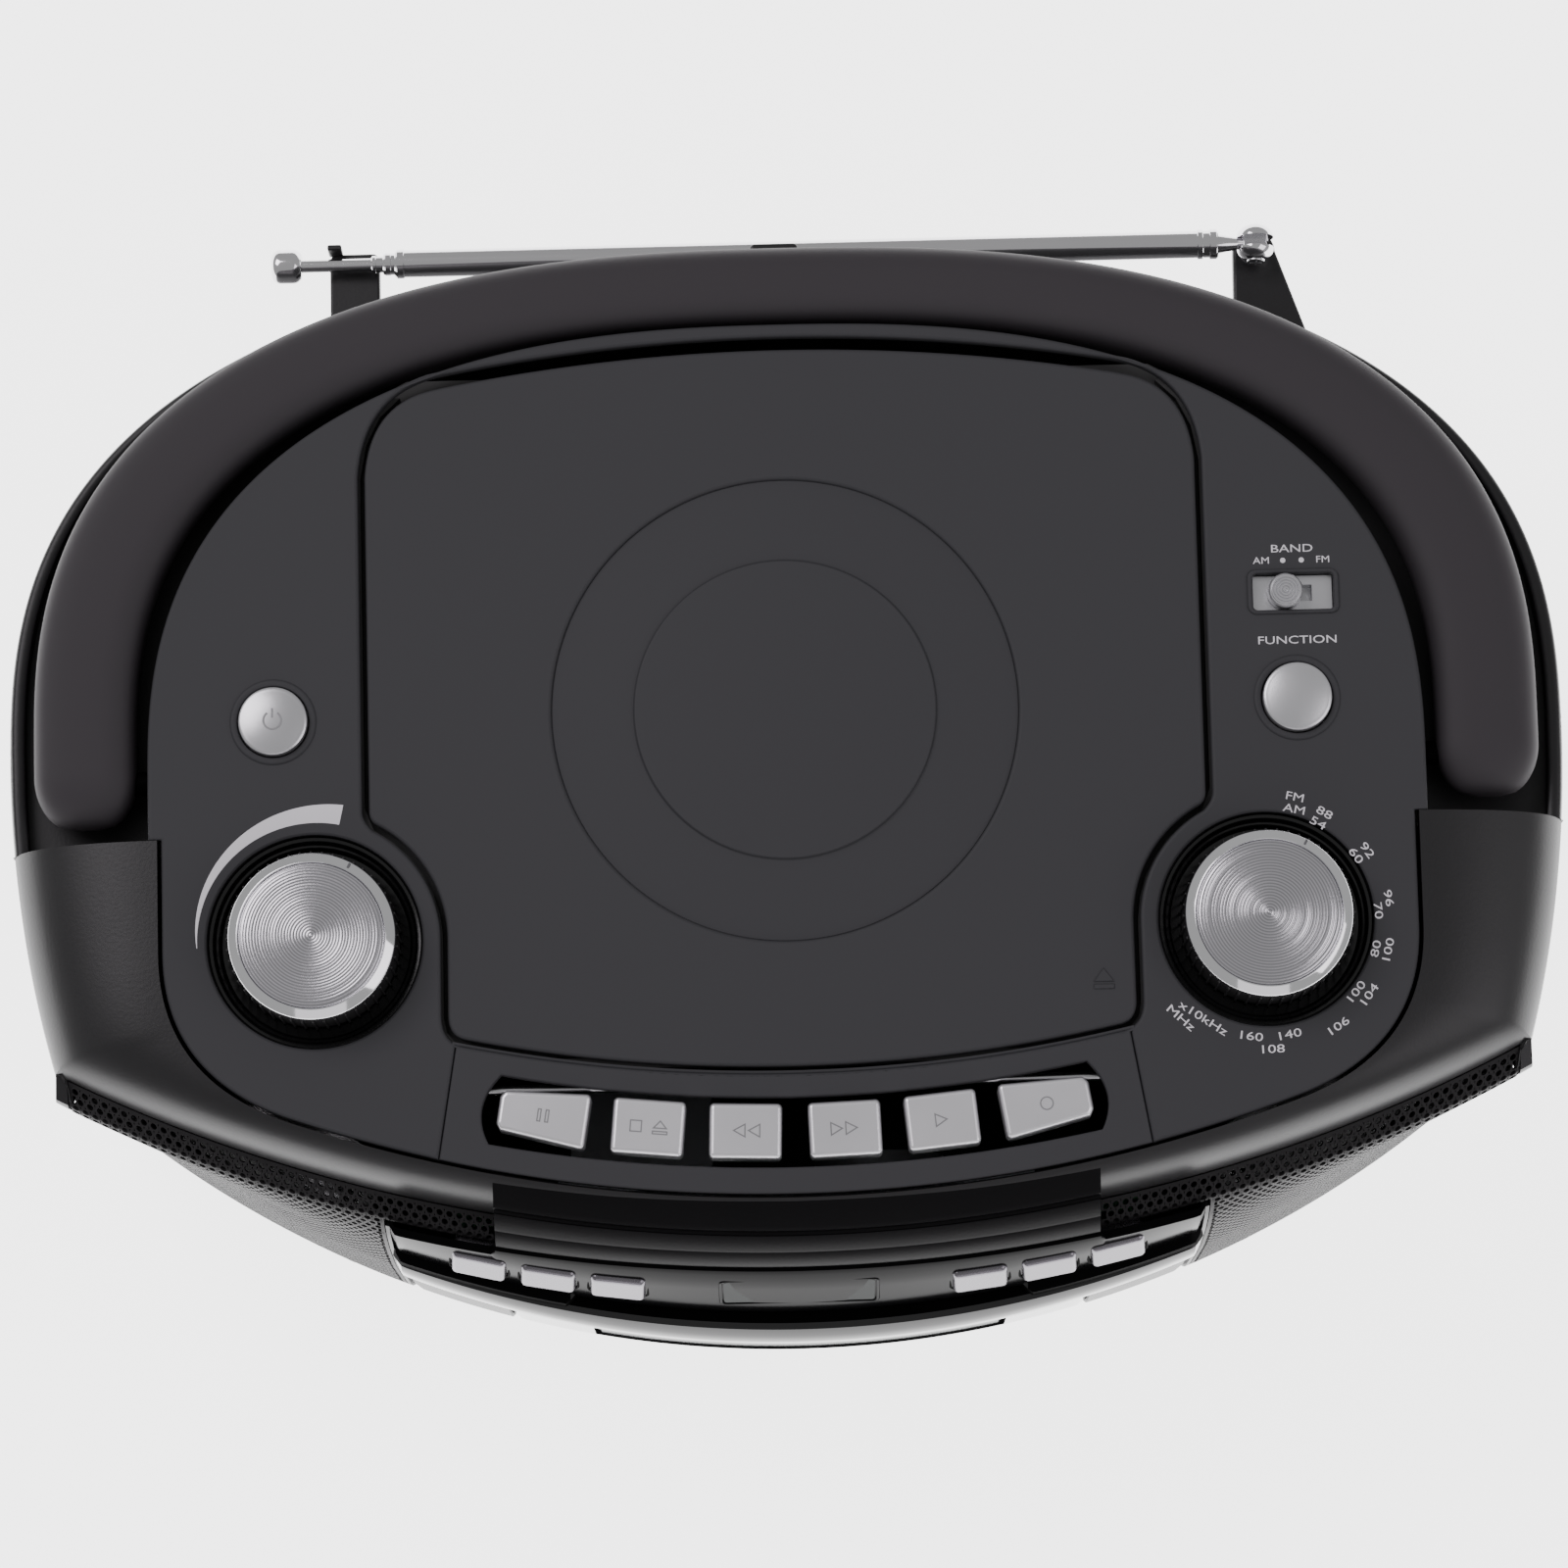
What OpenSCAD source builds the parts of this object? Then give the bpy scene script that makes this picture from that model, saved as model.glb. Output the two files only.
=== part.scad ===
// Portable radio, cassette and disc player.
// Frame: +Z up, front towards -Y, +X to the right when seen from the front. The feet stand on z = 0.

/* [Cabinet] */
// Half of the cabinet's greatest width
half_w = 161.6; // [160:0.2:164]
// Depth of the rear half, from the widest line to the back
rear_depth = 103.5; // [102:0.5:106]
// Where the widest line runs, front to back
wide_y = 7.6; // [7:0.1:8.5]
// Thickness of the cabinet walls
wall = 2.6; // [2.2:0.1:3]
// Height of the underside above the table
floor_z = 4; // [3:0.5:5]
// Where the front and rear cabinets meet
seam_y = 6.5; // [5:0.5:8]

/* [Deck] */
// Height of the deck at the middle of the cabinet
deck_z = 138.2; // [137.5:0.1:139]
// Fall of the deck towards the front, in degrees
deck_tilt = 2; // [1.5:0.1:2.5]
// Thickness of the deck plate
deck_t = 2.4; // [2:0.1:3]

/* [Disc lid] */
// Half width of the lid
lid_w = 85.4; // [84:0.2:87]
// Thickness of the lid
lid_t = 2.4; // [2:0.1:3]
// Radius of the disc well
disc_r = 62.5; // [61:0.5:64]
// Middle of the disc, front to back
disc_y = 9.8; // [9:0.1:11]

/* [Knobs] */
// Distance of each knob from the middle
knob_x = 96.8; // [96:0.1:98]
// Knob position, front to back
knob_y = -36.1; // [-37:0.1:-35]
// Radius of the well round a knob
well_r = 21.8; // [21:0.1:22.5]
// Radius of a knob
knob_r = 17.1; // [16:0.1:18]
// Height of a knob above the deck
knob_h = 10; // [8:0.5:12]

/* [Tape keys] */
// Depth of a key, front to back
key_d = 11.2; // [10:0.1:12]
// How far a key stands above the deck
key_h = 2.5; // [2:0.1:3]
// Radius of the arc that the keys follow
key_arc = 310.2; // [300:0.2:320]

/* [Handle] */
// Thickness of the handle
handle_t = 14; // [12:0.5:14]

/* [Antenna] */
// Height of the folded antenna
rod_z = 104; // [102:0.5:106]
// Distance of the folded antenna behind the middle
rod_y = 115.4; // [115.2:0.1:116.5]
// Where the antenna pivots, left to right
pivot_x = 102.5; // [101:0.5:104]

/* [Hidden] */
$fn = 48;

black = [0.10, 0.10, 0.11];
silver = [0.78, 0.78, 0.80];
chrome = [0.82, 0.82, 0.85];
gap = 0.3;
big = 400;
// Exponent of the rounded rear outline, and the depth scale of the tapering sides
outline_n = 2.5;
side_depth = 200;
// Each level of the cabinet: height, side inset, front apex, front radius
LEVELS = [[floor_z, 10, -103, 240], [12, 5, -107, 235], [40, 1.5, -111.5, 228],
    [80, 0, -112.5, 225], [100, 0, -110, 245], [112, 0, -106, 290], [120, 0.8, -102, 330],
    [125, 1.6, -98.5, 330], [130, 6.5, -96.5, 325], [134.5, 13, -93, 318], [138, 28, -84, 306]];
// Tape keys: turn about the arc's centre and width
KEYS = [[-9.45, 18.3], [-5.5, 14.7], [-1.86, 14.7], [1.86, 14.7], [5.5, 14.7], [9.45, 18.3]];
key_centre_y = 233;
key_shaft_y = -66.8;
key_shaft_z = -6;
// Handle pivot, in the deck's frame
handle_y = -1.6;
handle_z = -7.5;
trench_z = 120;
trench_front = -14.5;
rim_z = 124.9;
// The gap behind the lid is wider than the one beside it by this factor
lid_rear = 1.9;
// Lid hinge, in the deck's frame
lid_hinge_y = 79.5;
lid_hinge_z = -2.6;
// Round buttons and band switch, in the deck's frame
button_x = 104.7;
button_y = 9.4;
button_r = 7.1;
band_y = 31.4;
band_off = 1.65;
// Front pod and door
pod_w = 83.5;
pod_low = 90;
pod_top = 126;
door_w = 62;
door_low = 23.8;
door_top = 87;
door_edge = 27.2;
hinge_x = 14;
hinge_y = -102.6;
hinge_z = 30.2;
// Front buttons: position along the pod, and their tilt back
FRONT_X = [-65.3, -51.2, -37, 37, 51.2, 65.3];
front_z = 111;
front_tilt = 16;
front_turn_r = 290;
// Speakers
speaker_x = 112.2;
speaker_y = -75.1;
speaker_z = 68;
speaker_turn = 31;
// Case screws in the floor
screw_x = 120;
screw_y = 40;

// ---- outlines ----
// A quarter-turn-by-quarter-turn superellipse point
function se(a, b, n, t) =
    [a * sign(cos(t)) * pow(abs(cos(t)), 2 / n), b * pow(abs(sin(t)), 2 / n)];
// Height of an arc of radius r whose lowest point is at apex
function arc_y(x, apex, r) = apex + r - sqrt(r * r - x * x);
function bez(a, b, c, t) = (1 - t) * (1 - t) * a + 2 * t * (1 - t) * b + t * t * c;
function rear_arc(a, b, y0, n, count) =
    [for (i = [0:count]) se(a, b, n, 180 * i / count) + [0, y0]];
function mirror_x(pts) = [for (i = [len(pts) - 1:-1:0]) [-pts[i][0], pts[i][1]]];

function side_x(y, d) = (half_w - d) * sqrt(1 - pow((wide_y - y) / side_depth, 2));
function corner_x(d) = 0.946 * (half_w - d);
// One horizontal ring of the cabinet: l is [height, side inset, front apex, front radius]
function ring(l, count = 24, front = 18) =
    let (xc = corner_x(l[1]), yc = arc_y(xc, l[2], l[3]))
    [for (p = concat(rear_arc(half_w - l[1], rear_depth - l[1], wide_y, outline_n, count),
            [for (k = [1:3]) let (y = wide_y + (yc - wide_y) * k / 4) [-side_x(y, l[1]), y]],
            [for (i = [0:front]) let (x = -xc + 2 * xc * i / front) [x, arc_y(x, l[2], l[3])]],
            [for (k = [3:-1:1]) let (y = wide_y + (yc - wide_y) * k / 4) [side_x(y, l[1]), y]]))
        [p[0], p[1], l[0]]];
// The same level moved inwards by t
function inset(l, t) = [l[0], l[1] + t, l[2] + t, l[3] - t];
function inner_levels(t) =
    [for (i = [0:len(LEVELS) - 1]) inset([LEVELS[i][0] + (i == 0 ? t : i == len(LEVELS) - 1 ? -t
        : 0), LEVELS[i][1], LEVELS[i][2], LEVELS[i][3]], t)];

// Solid through a stack of rings, lowest first, each ring counter-clockwise from above
module loft(rings) {
    n = len(rings[0]);
    m = len(rings);
    polyhedron(
        points = [for (r = rings) for (p = r) p],
        faces = concat([[for (i = [0:n - 1]) i]], [[for (i = [n - 1:-1:0]) (m - 1) * n + i]],
            [for (k = [0:m - 2]) for (i = [0:n - 1]) let (j = (i + 1) % n)
                for (f = [[k * n + i, (k + 1) * n + i, (k + 1) * n + j],
                        [k * n + i, (k + 1) * n + j, k * n + j]]) f]));
}

module body_loft(t = 0) {
    loft([for (l = inner_levels(t)) ring(l)]);
}

// Places children in the deck's frame: local z = 0 is the deck's surface
module deck() {
    translate([0, 0, deck_z]) rotate([deck_tilt, 0, 0]) children();
}

module below_deck(z = 0) {
    deck() translate([-big / 2, -big / 2, z - big]) cube(big);
}

// Outline of the deck plate, grown by g
function deck_pts(g) = let (
        x1 = 130.6 + g,
        x2 = 127.9 + g,
        right = concat(
            [for (i = [0:8]) let (x = 104 * i / 8) [x, arc_y(x, -89.8 - g, 306)]],
            [for (t = [0.25:0.25:1]) bez([104, -71.4 - g], [x2, -62 - g], [x2, -38], t)],
            [[x2, trench_front - g], [x1, trench_front - g]]))
    concat(right, rear_arc(x1, 92.2 + g, -2, outline_n, 28), mirror_x(right));

// Right half of the lid's outline from the front's middle to the rear's middle, grown by g
function lid_half(g) = concat(
    [for (i = [0:5]) let (x = 66 * i / 5) [x, arc_y(x, -63.9 - g, 320 + g)]],
    [for (t = [0.34, 0.67, 1]) bez([66, -56.9 - g], [69.9 + g, -56.4 - g], [69.9 + g, -52], t)],
    [for (a = [178:-10:118]) [knob_x + (27 - g) * cos(a), knob_y + (27 - g) * sin(a)]],
    [[lid_w + g, -8.5], [lid_w + g, 60]],
    [for (t = [0.25:0.25:1])
        bez([lid_w + g, 60], [lid_w - 1.2 + g, 75 + g], [72, 77.9 + lid_rear * g], t)],
    [for (i = [5:-1:1]) let (x = 72 * i / 6) [x, 84.8 + lid_rear * g - arc_y(x, 0, 383)]]);
function lid_pts(g) = concat(lid_half(g), [[0, 84.8 + lid_rear * g]], mirror_x(lid_half(g)));

// Outline of the panel round the tape keys, grown by g
function key_panel_pts(g) = concat(
    [for (i = [-8:8]) let (x = (72.2 + g) * i / 8) [x, arc_y(x, -89.8 - g, 306)]],
    [for (i = [8:-1:-8]) let (x = (68.4 + g) * i / 8) [x, arc_y(x, -65.6 + g, 322)]]);

// Channel for the handle: between the rim and the deck, grown by g
module trench_2d(g = 0) {
    difference() {
        polygon(concat(rear_arc(157.3 + g, 101 + g, wide_y, outline_n, 28),
            [[-156.4 - g, trench_front - g], [156.4 + g, trench_front - g]]));
        polygon(concat(rear_arc(130.8 - g, 92.4 - g, -2, outline_n, 28),
            [[-130.8 + g, trench_front - big], [130.8 - g, trench_front - big]]));
    }
}

// ---- cabinet ----
module front_region(x0, x1, z0, z1, g = 0) {
    translate([x0 - g, -big / 2, z0 - g]) cube([x1 - x0 + 2 * g, big / 2 - 40, z1 - z0 + 2 * g]);
}

module grille_region(side, g = 0) {
    mirror([side < 0 ? 1 : 0, 0, 0]) {
        front_region(pod_w + 1, 149, 24, 121, g);
        front_region(62, 149, 117, 121, g);
    }
}

module centre_region(g = 0) {
    front_region(-pod_w, pod_w, 16, 116.4, g);
    front_region(-61.5, 61.5, 100, 121, g);
}

module cabinet() {
    difference() {
        union() {
            intersection() {
                difference() {
                    body_loft();
                    body_loft(wall);
                }
                below_deck();
            }
            // floor and walls of the handle's channel
            intersection() {
                translate([0, 0, trench_z - 2.4]) linear_extrude(24) trench_2d(2.4);
                union() {
                    body_loft(0.2);
                    translate([0, 0, trench_z - 2.4]) linear_extrude(24) polygon(deck_pts(-0.1));
                }
                below_deck(-deck_t);
            }
            // ledge under the deck plate
            intersection() {
                deck() translate([0, 0, -deck_t - 2]) linear_extrude(2) difference() {
                    polygon(deck_pts(2));
                    polygon(deck_pts(-3));
                }
                translate([-big / 2, -big - 16, 0]) cube(big);
                body_loft(0.2);
            }
        }
        translate([0, 0, trench_z]) linear_extrude(40) trench_2d();
        deck() translate([0, 0, -deck_t]) linear_extrude(30) polygon(deck_pts(0.25));
        translate([0, 0, 110]) linear_extrude(40) polygon(deck_pts(-3));
        // the rim outside the handle stops below the deck
        translate([0, 0, rim_z]) linear_extrude(40) difference() {
            translate([-big / 2, trench_front]) square([big, big]);
            polygon(deck_pts(-4));
        }
        for (side = [-1, 1]) {
            intersection() {
                grille_region(side, 0.2);
                difference() {
                    body_loft(-1);
                    body_loft(1.4);
                }
            }
            translate([side * speaker_x, speaker_y, speaker_z]) rotate([0, 0, side * speaker_turn])
                rotate([90, 0, 0]) cylinder(r = 33, h = 16);
        }
        centre_region();
        for (x = [-screw_x, screw_x]) for (y = [-screw_y, screw_y]) translate([x, y, 0])
            cylinder(r = 1.5, h = 20);
        deck() translate([0, handle_y, handle_z]) rotate([0, 90, 0])
            cylinder(r = 2.5, h = 280, center = true);
    }
}

module front_cabinet() {
    color(black) intersection() {
        cabinet();
        translate([-big / 2, seam_y - big, -1]) cube(big);
    }
}

module rear_cabinet() {
    color(black) difference() {
        intersection() {
            cabinet();
            translate([-big / 2, seam_y, -1]) cube(big);
        }
        translate([-74, 90, 10]) cube([148, 40, 34]);
        translate([-120, 60, 52]) rotate([-90, 0, 0]) inlet_hole();
    }
}

// Ear under the antenna's ball, shelf and post for its tip, and the handle's stop
module antenna_bracket() {
    color(black) difference() {
        union() {
            translate([0, 0, rod_z - 8.4]) linear_extrude(3) {
                translate([pivot_x, rod_y]) circle(r = 4.2);
                polygon([[pivot_x - 4.2, rod_y], [pivot_x + 4.2, rod_y], [112, 86], [92, 92]]);
            }
            translate([-95, 88, rod_z - 6.4]) cube([11, 30.5, 3]);
            translate([-95, 118.4, rod_z - 6.4]) cube([3, 1.2, 4]);
            translate([-5, 90, 114]) cube([10, 22, 10.9]);
        }
        body_loft(-0.01);
        translate([pivot_x, rod_y, 0]) cylinder(r = 2.05, h = 200);
    }
}

module inlet_hole() {
    translate([-10, -6, 0]) cube([20, 12, 60]);
}

module top_panel() {
    color(black) deck() difference() {
        union() {
            translate([0, 0, -deck_t]) linear_extrude(deck_t) difference() {
                polygon(deck_pts(0));
                polygon(lid_pts(1.4));
                polygon(key_panel_pts(0.15));
            }
            for (side = [-1, 1]) {
                translate([side * knob_x, knob_y, -7]) cylinder(r = well_r + 1.2, h = 7);
                translate([side * button_x, button_y, -5]) cylinder(r = button_r + 1.8, h = 5);
            }
        }
        for (side = [-1, 1]) {
            translate([side * knob_x, knob_y, -5.5]) cylinder(r = well_r, h = 20);
            translate([side * knob_x, knob_y, -20]) cylinder(r = 3.1, h = 40);
            translate([side * button_x, button_y, -20]) cylinder(r = button_r + 0.3, h = 40);
        }
        translate([button_x - 8.3, band_y - 3.8, -20]) cube([16.6, 7.6, 40]);
    }
}

module key_surround() {
    color(black) deck() difference() {
        union() {
            translate([0, 0, -deck_t]) linear_extrude(deck_t) polygon(key_panel_pts(0));
            for (x = [-62.5, 62.5]) translate([x - 1.2, key_shaft_y - 2.4, -9])
                cube([2.4, 4.8, 9 - deck_t + 0.1]);
        }
        for (k = KEYS) key_place(k[0]) translate([-k[1] / 2 - 0.5, -key_d / 2 - 1.8, -10])
            cube([k[1] + 1, key_d + 2.3, 20]);
        translate([0, key_shaft_y, key_shaft_z]) rotate([0, 90, 0])
            cylinder(r = 1, h = 140, center = true);
    }
}

module key_place(turn) {
    translate([0, key_centre_y, 0]) rotate([0, 0, turn]) translate([0, -key_arc, 0]) children();
}

// ---- disc lid and tray ----
module cd_lid() {
    color(black) deck() difference() {
        union() {
            translate([0, 0, -lid_t]) linear_extrude(lid_t) polygon(lid_pts(0));
            for (side = [-1, 1]) translate([side * 45 - 5, lid_hinge_y, lid_hinge_z])
                rotate([0, 90, 0]) cylinder(r = 2, h = 10);
            // clamping ring that holds the disc down
            translate([0, disc_y, -4]) cylinder(r = 14, h = 2);
        }
        for (side = [-1, 1]) {
            translate([side * 45 - 6, lid_hinge_y, lid_hinge_z]) rotate([0, 90, 0])
                cylinder(r = 1.05, h = 12);
            // notches over the blocks that hold the pins
            for (end = [-8.5, 5.1])
                translate([side * 45 + end, lid_hinge_y - 2.4, -3]) cube([3.4, 20, 2.2]);
        }
        translate([0, disc_y, -6]) cylinder(r = 9, h = 4.4);
    }
}

module lid_hinge_pins() {
    color(chrome) deck() for (side = [-1, 1])
        translate([side * 45 - 8, lid_hinge_y, lid_hinge_z]) rotate([0, 90, 0])
            cylinder(r = 1, h = 16);
}

module cd_tray() {
    color(black) deck() difference() {
        union() {
            difference() {
                translate([0, 0, -14]) linear_extrude(11.4) intersection() {
                    polygon(lid_pts(3));
                    translate([-100, -63.2]) square([200, 200]);
                }
                translate([0, 0, -5.6]) linear_extrude(20) intersection() {
                    polygon(lid_pts(1));
                    translate([-100, -61]) square([200, 200]);
                }
                // room for the lid's rear edge as it tips
                translate([-100, lid_hinge_y - 2.5, -5.6]) cube([200, 20, 20]);
                translate([-100, lid_hinge_y + 1.6, -15]) cube([200, 20, 20]);
            }
            // blocks that hold the hinge pins
            for (side = [-1, 1]) for (end = [-8.1, 5.4])
                translate([side * 45 + end, lid_hinge_y, lid_hinge_z]) {
                    rotate([0, 90, 0]) cylinder(r = 1.6, h = 2.7);
                    translate([0, -1.6, -3.4]) cube([2.7, 3.2, 3.4]);
                }
        }
        translate([0, disc_y, -11.6]) cylinder(r = disc_r, h = 20);
        translate([0, disc_y, -20]) cylinder(r = 16, h = 20);
        translate([-9, disc_y + 14, -20]) cube([18, 40, 20]);
        for (side = [-1, 1]) translate([side * 45 - 8.1, lid_hinge_y, lid_hinge_z])
            rotate([0, 90, 0]) cylinder(r = 1, h = 16.2);
    }
}

module cd_mechanism() {
    color("dimgray") deck() difference() {
        union() {
            translate([-40, disc_y - 22, -22]) cube([80, 74, 3]);
            translate([0, disc_y, -36]) cylinder(r = 12, h = 14.1);
            translate([-24, disc_y + 18, -19.1]) cube([48, 2, 3]);
            translate([-24, disc_y + 46, -19.1]) cube([48, 2, 3]);
            translate([-7, disc_y + 22, -19.1]) cube([14, 22, 6]);
            translate([0, disc_y + 33, -13.2]) cylinder(r = 3.4, h = 1.4);
            for (x = [-34, 34]) for (y = [-18, 48]) translate([x, disc_y + y, -19.1])
                cylinder(r = 4, h = 5.1);
        }
        translate([0, disc_y, -40]) cylinder(r = 1.05, h = 60);
    }
}

module disc_hub() {
    color("gainsboro") deck() {
        translate([0, disc_y, -30]) cylinder(r = 1, h = 20);
        translate([0, disc_y, -14]) cylinder(r = 13, h = 4.6);
        translate([0, disc_y, -9.5]) cylinder(r = 7.3, h = 3.2);
    }
}

// ---- front ----
module grille(side) {
    intersection() {
        grille_region(side);
        difference() {
            body_loft();
            body_loft(1.2);
        }
    }
}

module grille_left() {
    color("dimgray") grille(-1);
}

module grille_right() {
    color("dimgray") grille(1);
}

// A ring of the front pod: height, front apex, front radius, half width, rear face
function pod_ring(z, apex, r, w, back) = concat(
    [for (i = [0:16]) let (x = -w + 2 * w * i / 16) [x, arc_y(x, apex, r), z]],
    [[w, back, z], [-w, back, z]]);

POD = [[pod_low, -113.5, 218], [93, -115.6, 218], [98, -116, 218], [102, -112.6, 232],
    [104, -110.2, 248], [124, -103.3, 340], [pod_top, -102, 350]];

module pod(t) {
    loft([for (i = [0:len(POD) - 1]) pod_ring(
        POD[i][0] + (i == 0 ? t : i == len(POD) - 1 ? -t : 0),
        POD[i][1] + t, POD[i][2] - t, pod_w - 0.4 - t, t > 0 ? -40 : -92)]);
}

// Places children on the pod's sloping face, local z pointing out of it
module on_pod(x) {
    translate([x, arc_y(x, -106.6, front_turn_r), front_z])
        rotate([0, 0, asin(x / front_turn_r)]) rotate([90 - front_tilt, 0, 0]) children();
}

module control_panel() {
    color([0.04, 0.04, 0.05]) difference() {
        intersection() {
            difference() {
                pod(0);
                pod(2.4);
            }
            // the brow of the cabinet rests on the pod
            union() {
                front_region(-pod_w, pod_w, pod_low, 116.4, -0.2);
                front_region(-61.5, 61.5, 100, 121, -0.2);
            }
        }
        for (x = FRONT_X) on_pod(x) translate([-6, -5.05, -20]) cube([12, 10.1, 40]);
        on_pod(0) translate([-15.8, -5.6, -20]) cube([31.6, 11.2, 40]);
        // the ends stop against the cabinet's skin
        difference() {
            body_loft(0.3);
            centre_region(-0.3);
        }
    }
}

module front_button(i) {
    color(silver) on_pod(FRONT_X[i]) {
        translate([-5.7, -4.75, -4]) cube([11.4, 9.5, 6]);
        translate([-2, -1.5, -7]) cube([4, 3, 3.1]);
    }
}

module display_window() {
    color([0.3, 0.33, 0.33]) on_pod(0) translate([-15.6, -5.4, -1.6]) cube([31.2, 10.8, 1.2]);
}

module display_module() {
    color("darkgreen") translate([-70, -90.2, 97]) cube([140, 1.6, 20]);
    color("darkgreen") translate([-14, -97.9, 104]) cube([28, 7.8, 11]);
}

module door_surround() {
    color(black) difference() {
        union() {
            difference() {
                intersection() {
                    difference() {
                        body_loft();
                        body_loft(wall);
                    }
                    front_region(-pod_w, pod_w, 16, pod_low - 0.3, -gap);
                }
                front_region(-door_w, door_w, door_low, 100);
            }
            // ears that hold the door's hinge pins
            for (side = [-1, 1]) translate([side * (hinge_x + 5) - 1.5, hinge_y, hinge_z]) {
                rotate([0, 90, 0]) cylinder(r = 2.2, h = 3);
                translate([0, -1, -10.2]) cube([3, 3.2, 10.2]);
                translate([0, -4.4, -10.2]) cube([3, 4, 3.4]);
            }
        }
        translate([-70, hinge_y, hinge_z]) rotate([0, 90, 0]) cylinder(r = 1, h = 140);
    }
}

module door_skin(t0, t1) {
    intersection() {
        difference() {
            body_loft(t0);
            body_loft(t1);
        }
        front_region(-door_w + 0.5, door_w - 0.5, door_edge, door_top);
    }
}

module cassette_door() {
    color([0.05, 0.05, 0.06]) difference() {
        union() {
            door_skin(0, 2.8);
            for (side = [-1, 1]) {
                translate([side * hinge_x - 3, hinge_y, hinge_z]) rotate([0, 90, 0])
                    cylinder(r = 2.2, h = 6);
                translate([side * hinge_x - 3, hinge_y - 5.4, hinge_z - 2.2]) cube([6, 5.4, 4.4]);
            }
        }
        translate([-70, hinge_y, hinge_z]) rotate([0, 90, 0]) cylinder(r = 1.05, h = 140);
    }
}

module cassette_holder() {
    color("dimgray") difference() {
        translate([-53.5, -107.4, 34]) cube([107, 19.4, 45]);
        translate([-51.5, -200, 36]) cube([103, 250, 60]);
        body_loft_outer(2.8);
    }
    color("dimgray") difference() {
        translate([-53.5, -107.4, 34]) cube([107, 19.4, 2]);
        body_loft_outer(2.8);
    }
}

// Everything outside the cabinet's surface moved in by t
module body_loft_outer(t) {
    difference() {
        translate([-100, -160, 0]) cube([200, 100, 110]);
        body_loft(t);
    }
}

// ---- power ----
module battery_door() {
    color(black) intersection() {
        difference() {
            body_loft();
            body_loft(wall);
        }
        translate([-73.6, 90, 10.4]) cube([147.2, 40, 33.2]);
    }
}

module battery_box() {
    color("dimgray") difference() {
        translate([-76, 44, floor_z + wall + 0.1]) cube([152, 46.8, 39]);
        translate([-73.5, 46, 9.5]) cube([147, 60, 34]);
    }
}

module battery_contacts() {
    color(chrome) for (side = [-1, 1]) for (y = [56, 76])
        translate([side * 73.5 - (side > 0 ? 6 : 0), y, 26]) rotate([0, 90, 0])
            cylinder(r = 6, h = 6);
}

module transformer() {
    color("slategray") translate([-122, 12, floor_z + wall]) cube([40, 48, 26]);
    color("orange") translate([-116, 8, floor_z + wall + 6]) cube([28, 56, 14]);
}

module ac_inlet() {
    color(black) intersection() {
        difference() {
            translate([-129.7, 60, 46.3]) cube([19.4, 42, 11.4]);
            translate([-125, 66, 49]) cube([10, 60, 6]);
        }
        body_loft();
    }
}

module feet() {
    color([0.15, 0.15, 0.15]) for (side = [-1, 1]) for (y = [-78, 78])
        translate([side * 96, y, 0]) cylinder(r = 8, h = floor_z);
}

module main_board() {
    color("darkgreen") translate([-74, -50, 66]) cube([148, 94, 1.6]);
    color([0.2, 0.2, 0.2]) {
        for (x = [-60:30:60]) translate([x, -30, 67.5]) cylinder(r = 5, h = 16);
        for (x = [-45:30:45]) translate([x - 8, 0, 67.5]) cube([16, 9, 5]);
        translate([-30, 22, 67.5]) cube([60, 3, 22]);
    }
}

// ---- handle ----
module handle() {
    color(black) deck() difference() {
        union() {
            translate([0, 0, handle_z - handle_t / 2]) linear_extrude(handle_t) difference() {
                polygon(concat(rear_arc(156, 100.1, wide_y, outline_n, 28),
                    [[-155.9, handle_y], [155.9, handle_y]]));
                polygon(concat(rear_arc(133, 94.7, -2, outline_n, 28), [[-133, -9], [133, -9]]));
            }
            for (side = [-1, 1]) translate([side * 144.4, handle_y, handle_z]) rotate([0, 90, 0])
                cylinder(r = handle_t / 2, h = 22.8, center = true);
        }
        translate([0, handle_y, handle_z]) rotate([0, 90, 0])
            cylinder(r = 2.55, h = 280, center = true);
    }
}

// Pins of the handle and of the cassette door
module pivot_pins() {
    color(chrome) {
        deck() for (side = [-1, 1]) translate([side * 133.2, handle_y, handle_z])
            rotate([0, 90, 0]) cylinder(r = 2.5, h = 12, center = true);
        for (side = [-1, 1]) translate([side * (hinge_x + 1.7) - 5, hinge_y, hinge_z])
            rotate([0, 90, 0]) cylinder(r = 1, h = 10);
    }
}

// ---- knobs, buttons and switches on the deck ----
module knob() {
    difference() {
        union() {
            translate([0, 0, -4.8]) cylinder(r = knob_r, h = knob_h + 4);
            translate([0, 0, -9]) cylinder(r = 3, h = 8);
        }
        translate([0, 0, knob_h - 1.6]) cylinder(r = 14.9, h = 4);
        translate([0, 0, -12]) cylinder(r = 1.6, h = 10);
    }
}

module knob_cap() {
    translate([0, 0, knob_h - 1.6]) cylinder(r = 14.8, h = 1.6);
}

module pot() {
    translate([0, 0, -18]) cylinder(r = 8.5, h = 8);
    translate([0, 0, -11]) cylinder(r = 1.55, h = 8);
    translate([-8, -12, -18]) cube([16, 6, 1.6]);
}

module at_knob(side) {
    deck() translate([side * knob_x, knob_y, 0]) children();
}

module volume_knob() {
    color(black) at_knob(-1) knob();
}

module volume_knob_cap() {
    color(silver) at_knob(-1) knob_cap();
}

module volume_pot() {
    color("dimgray") at_knob(-1) pot();
}

module tuning_knob() {
    color(black) at_knob(1) knob();
}

module tuning_knob_cap() {
    color(silver) at_knob(1) knob_cap();
}

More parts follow.
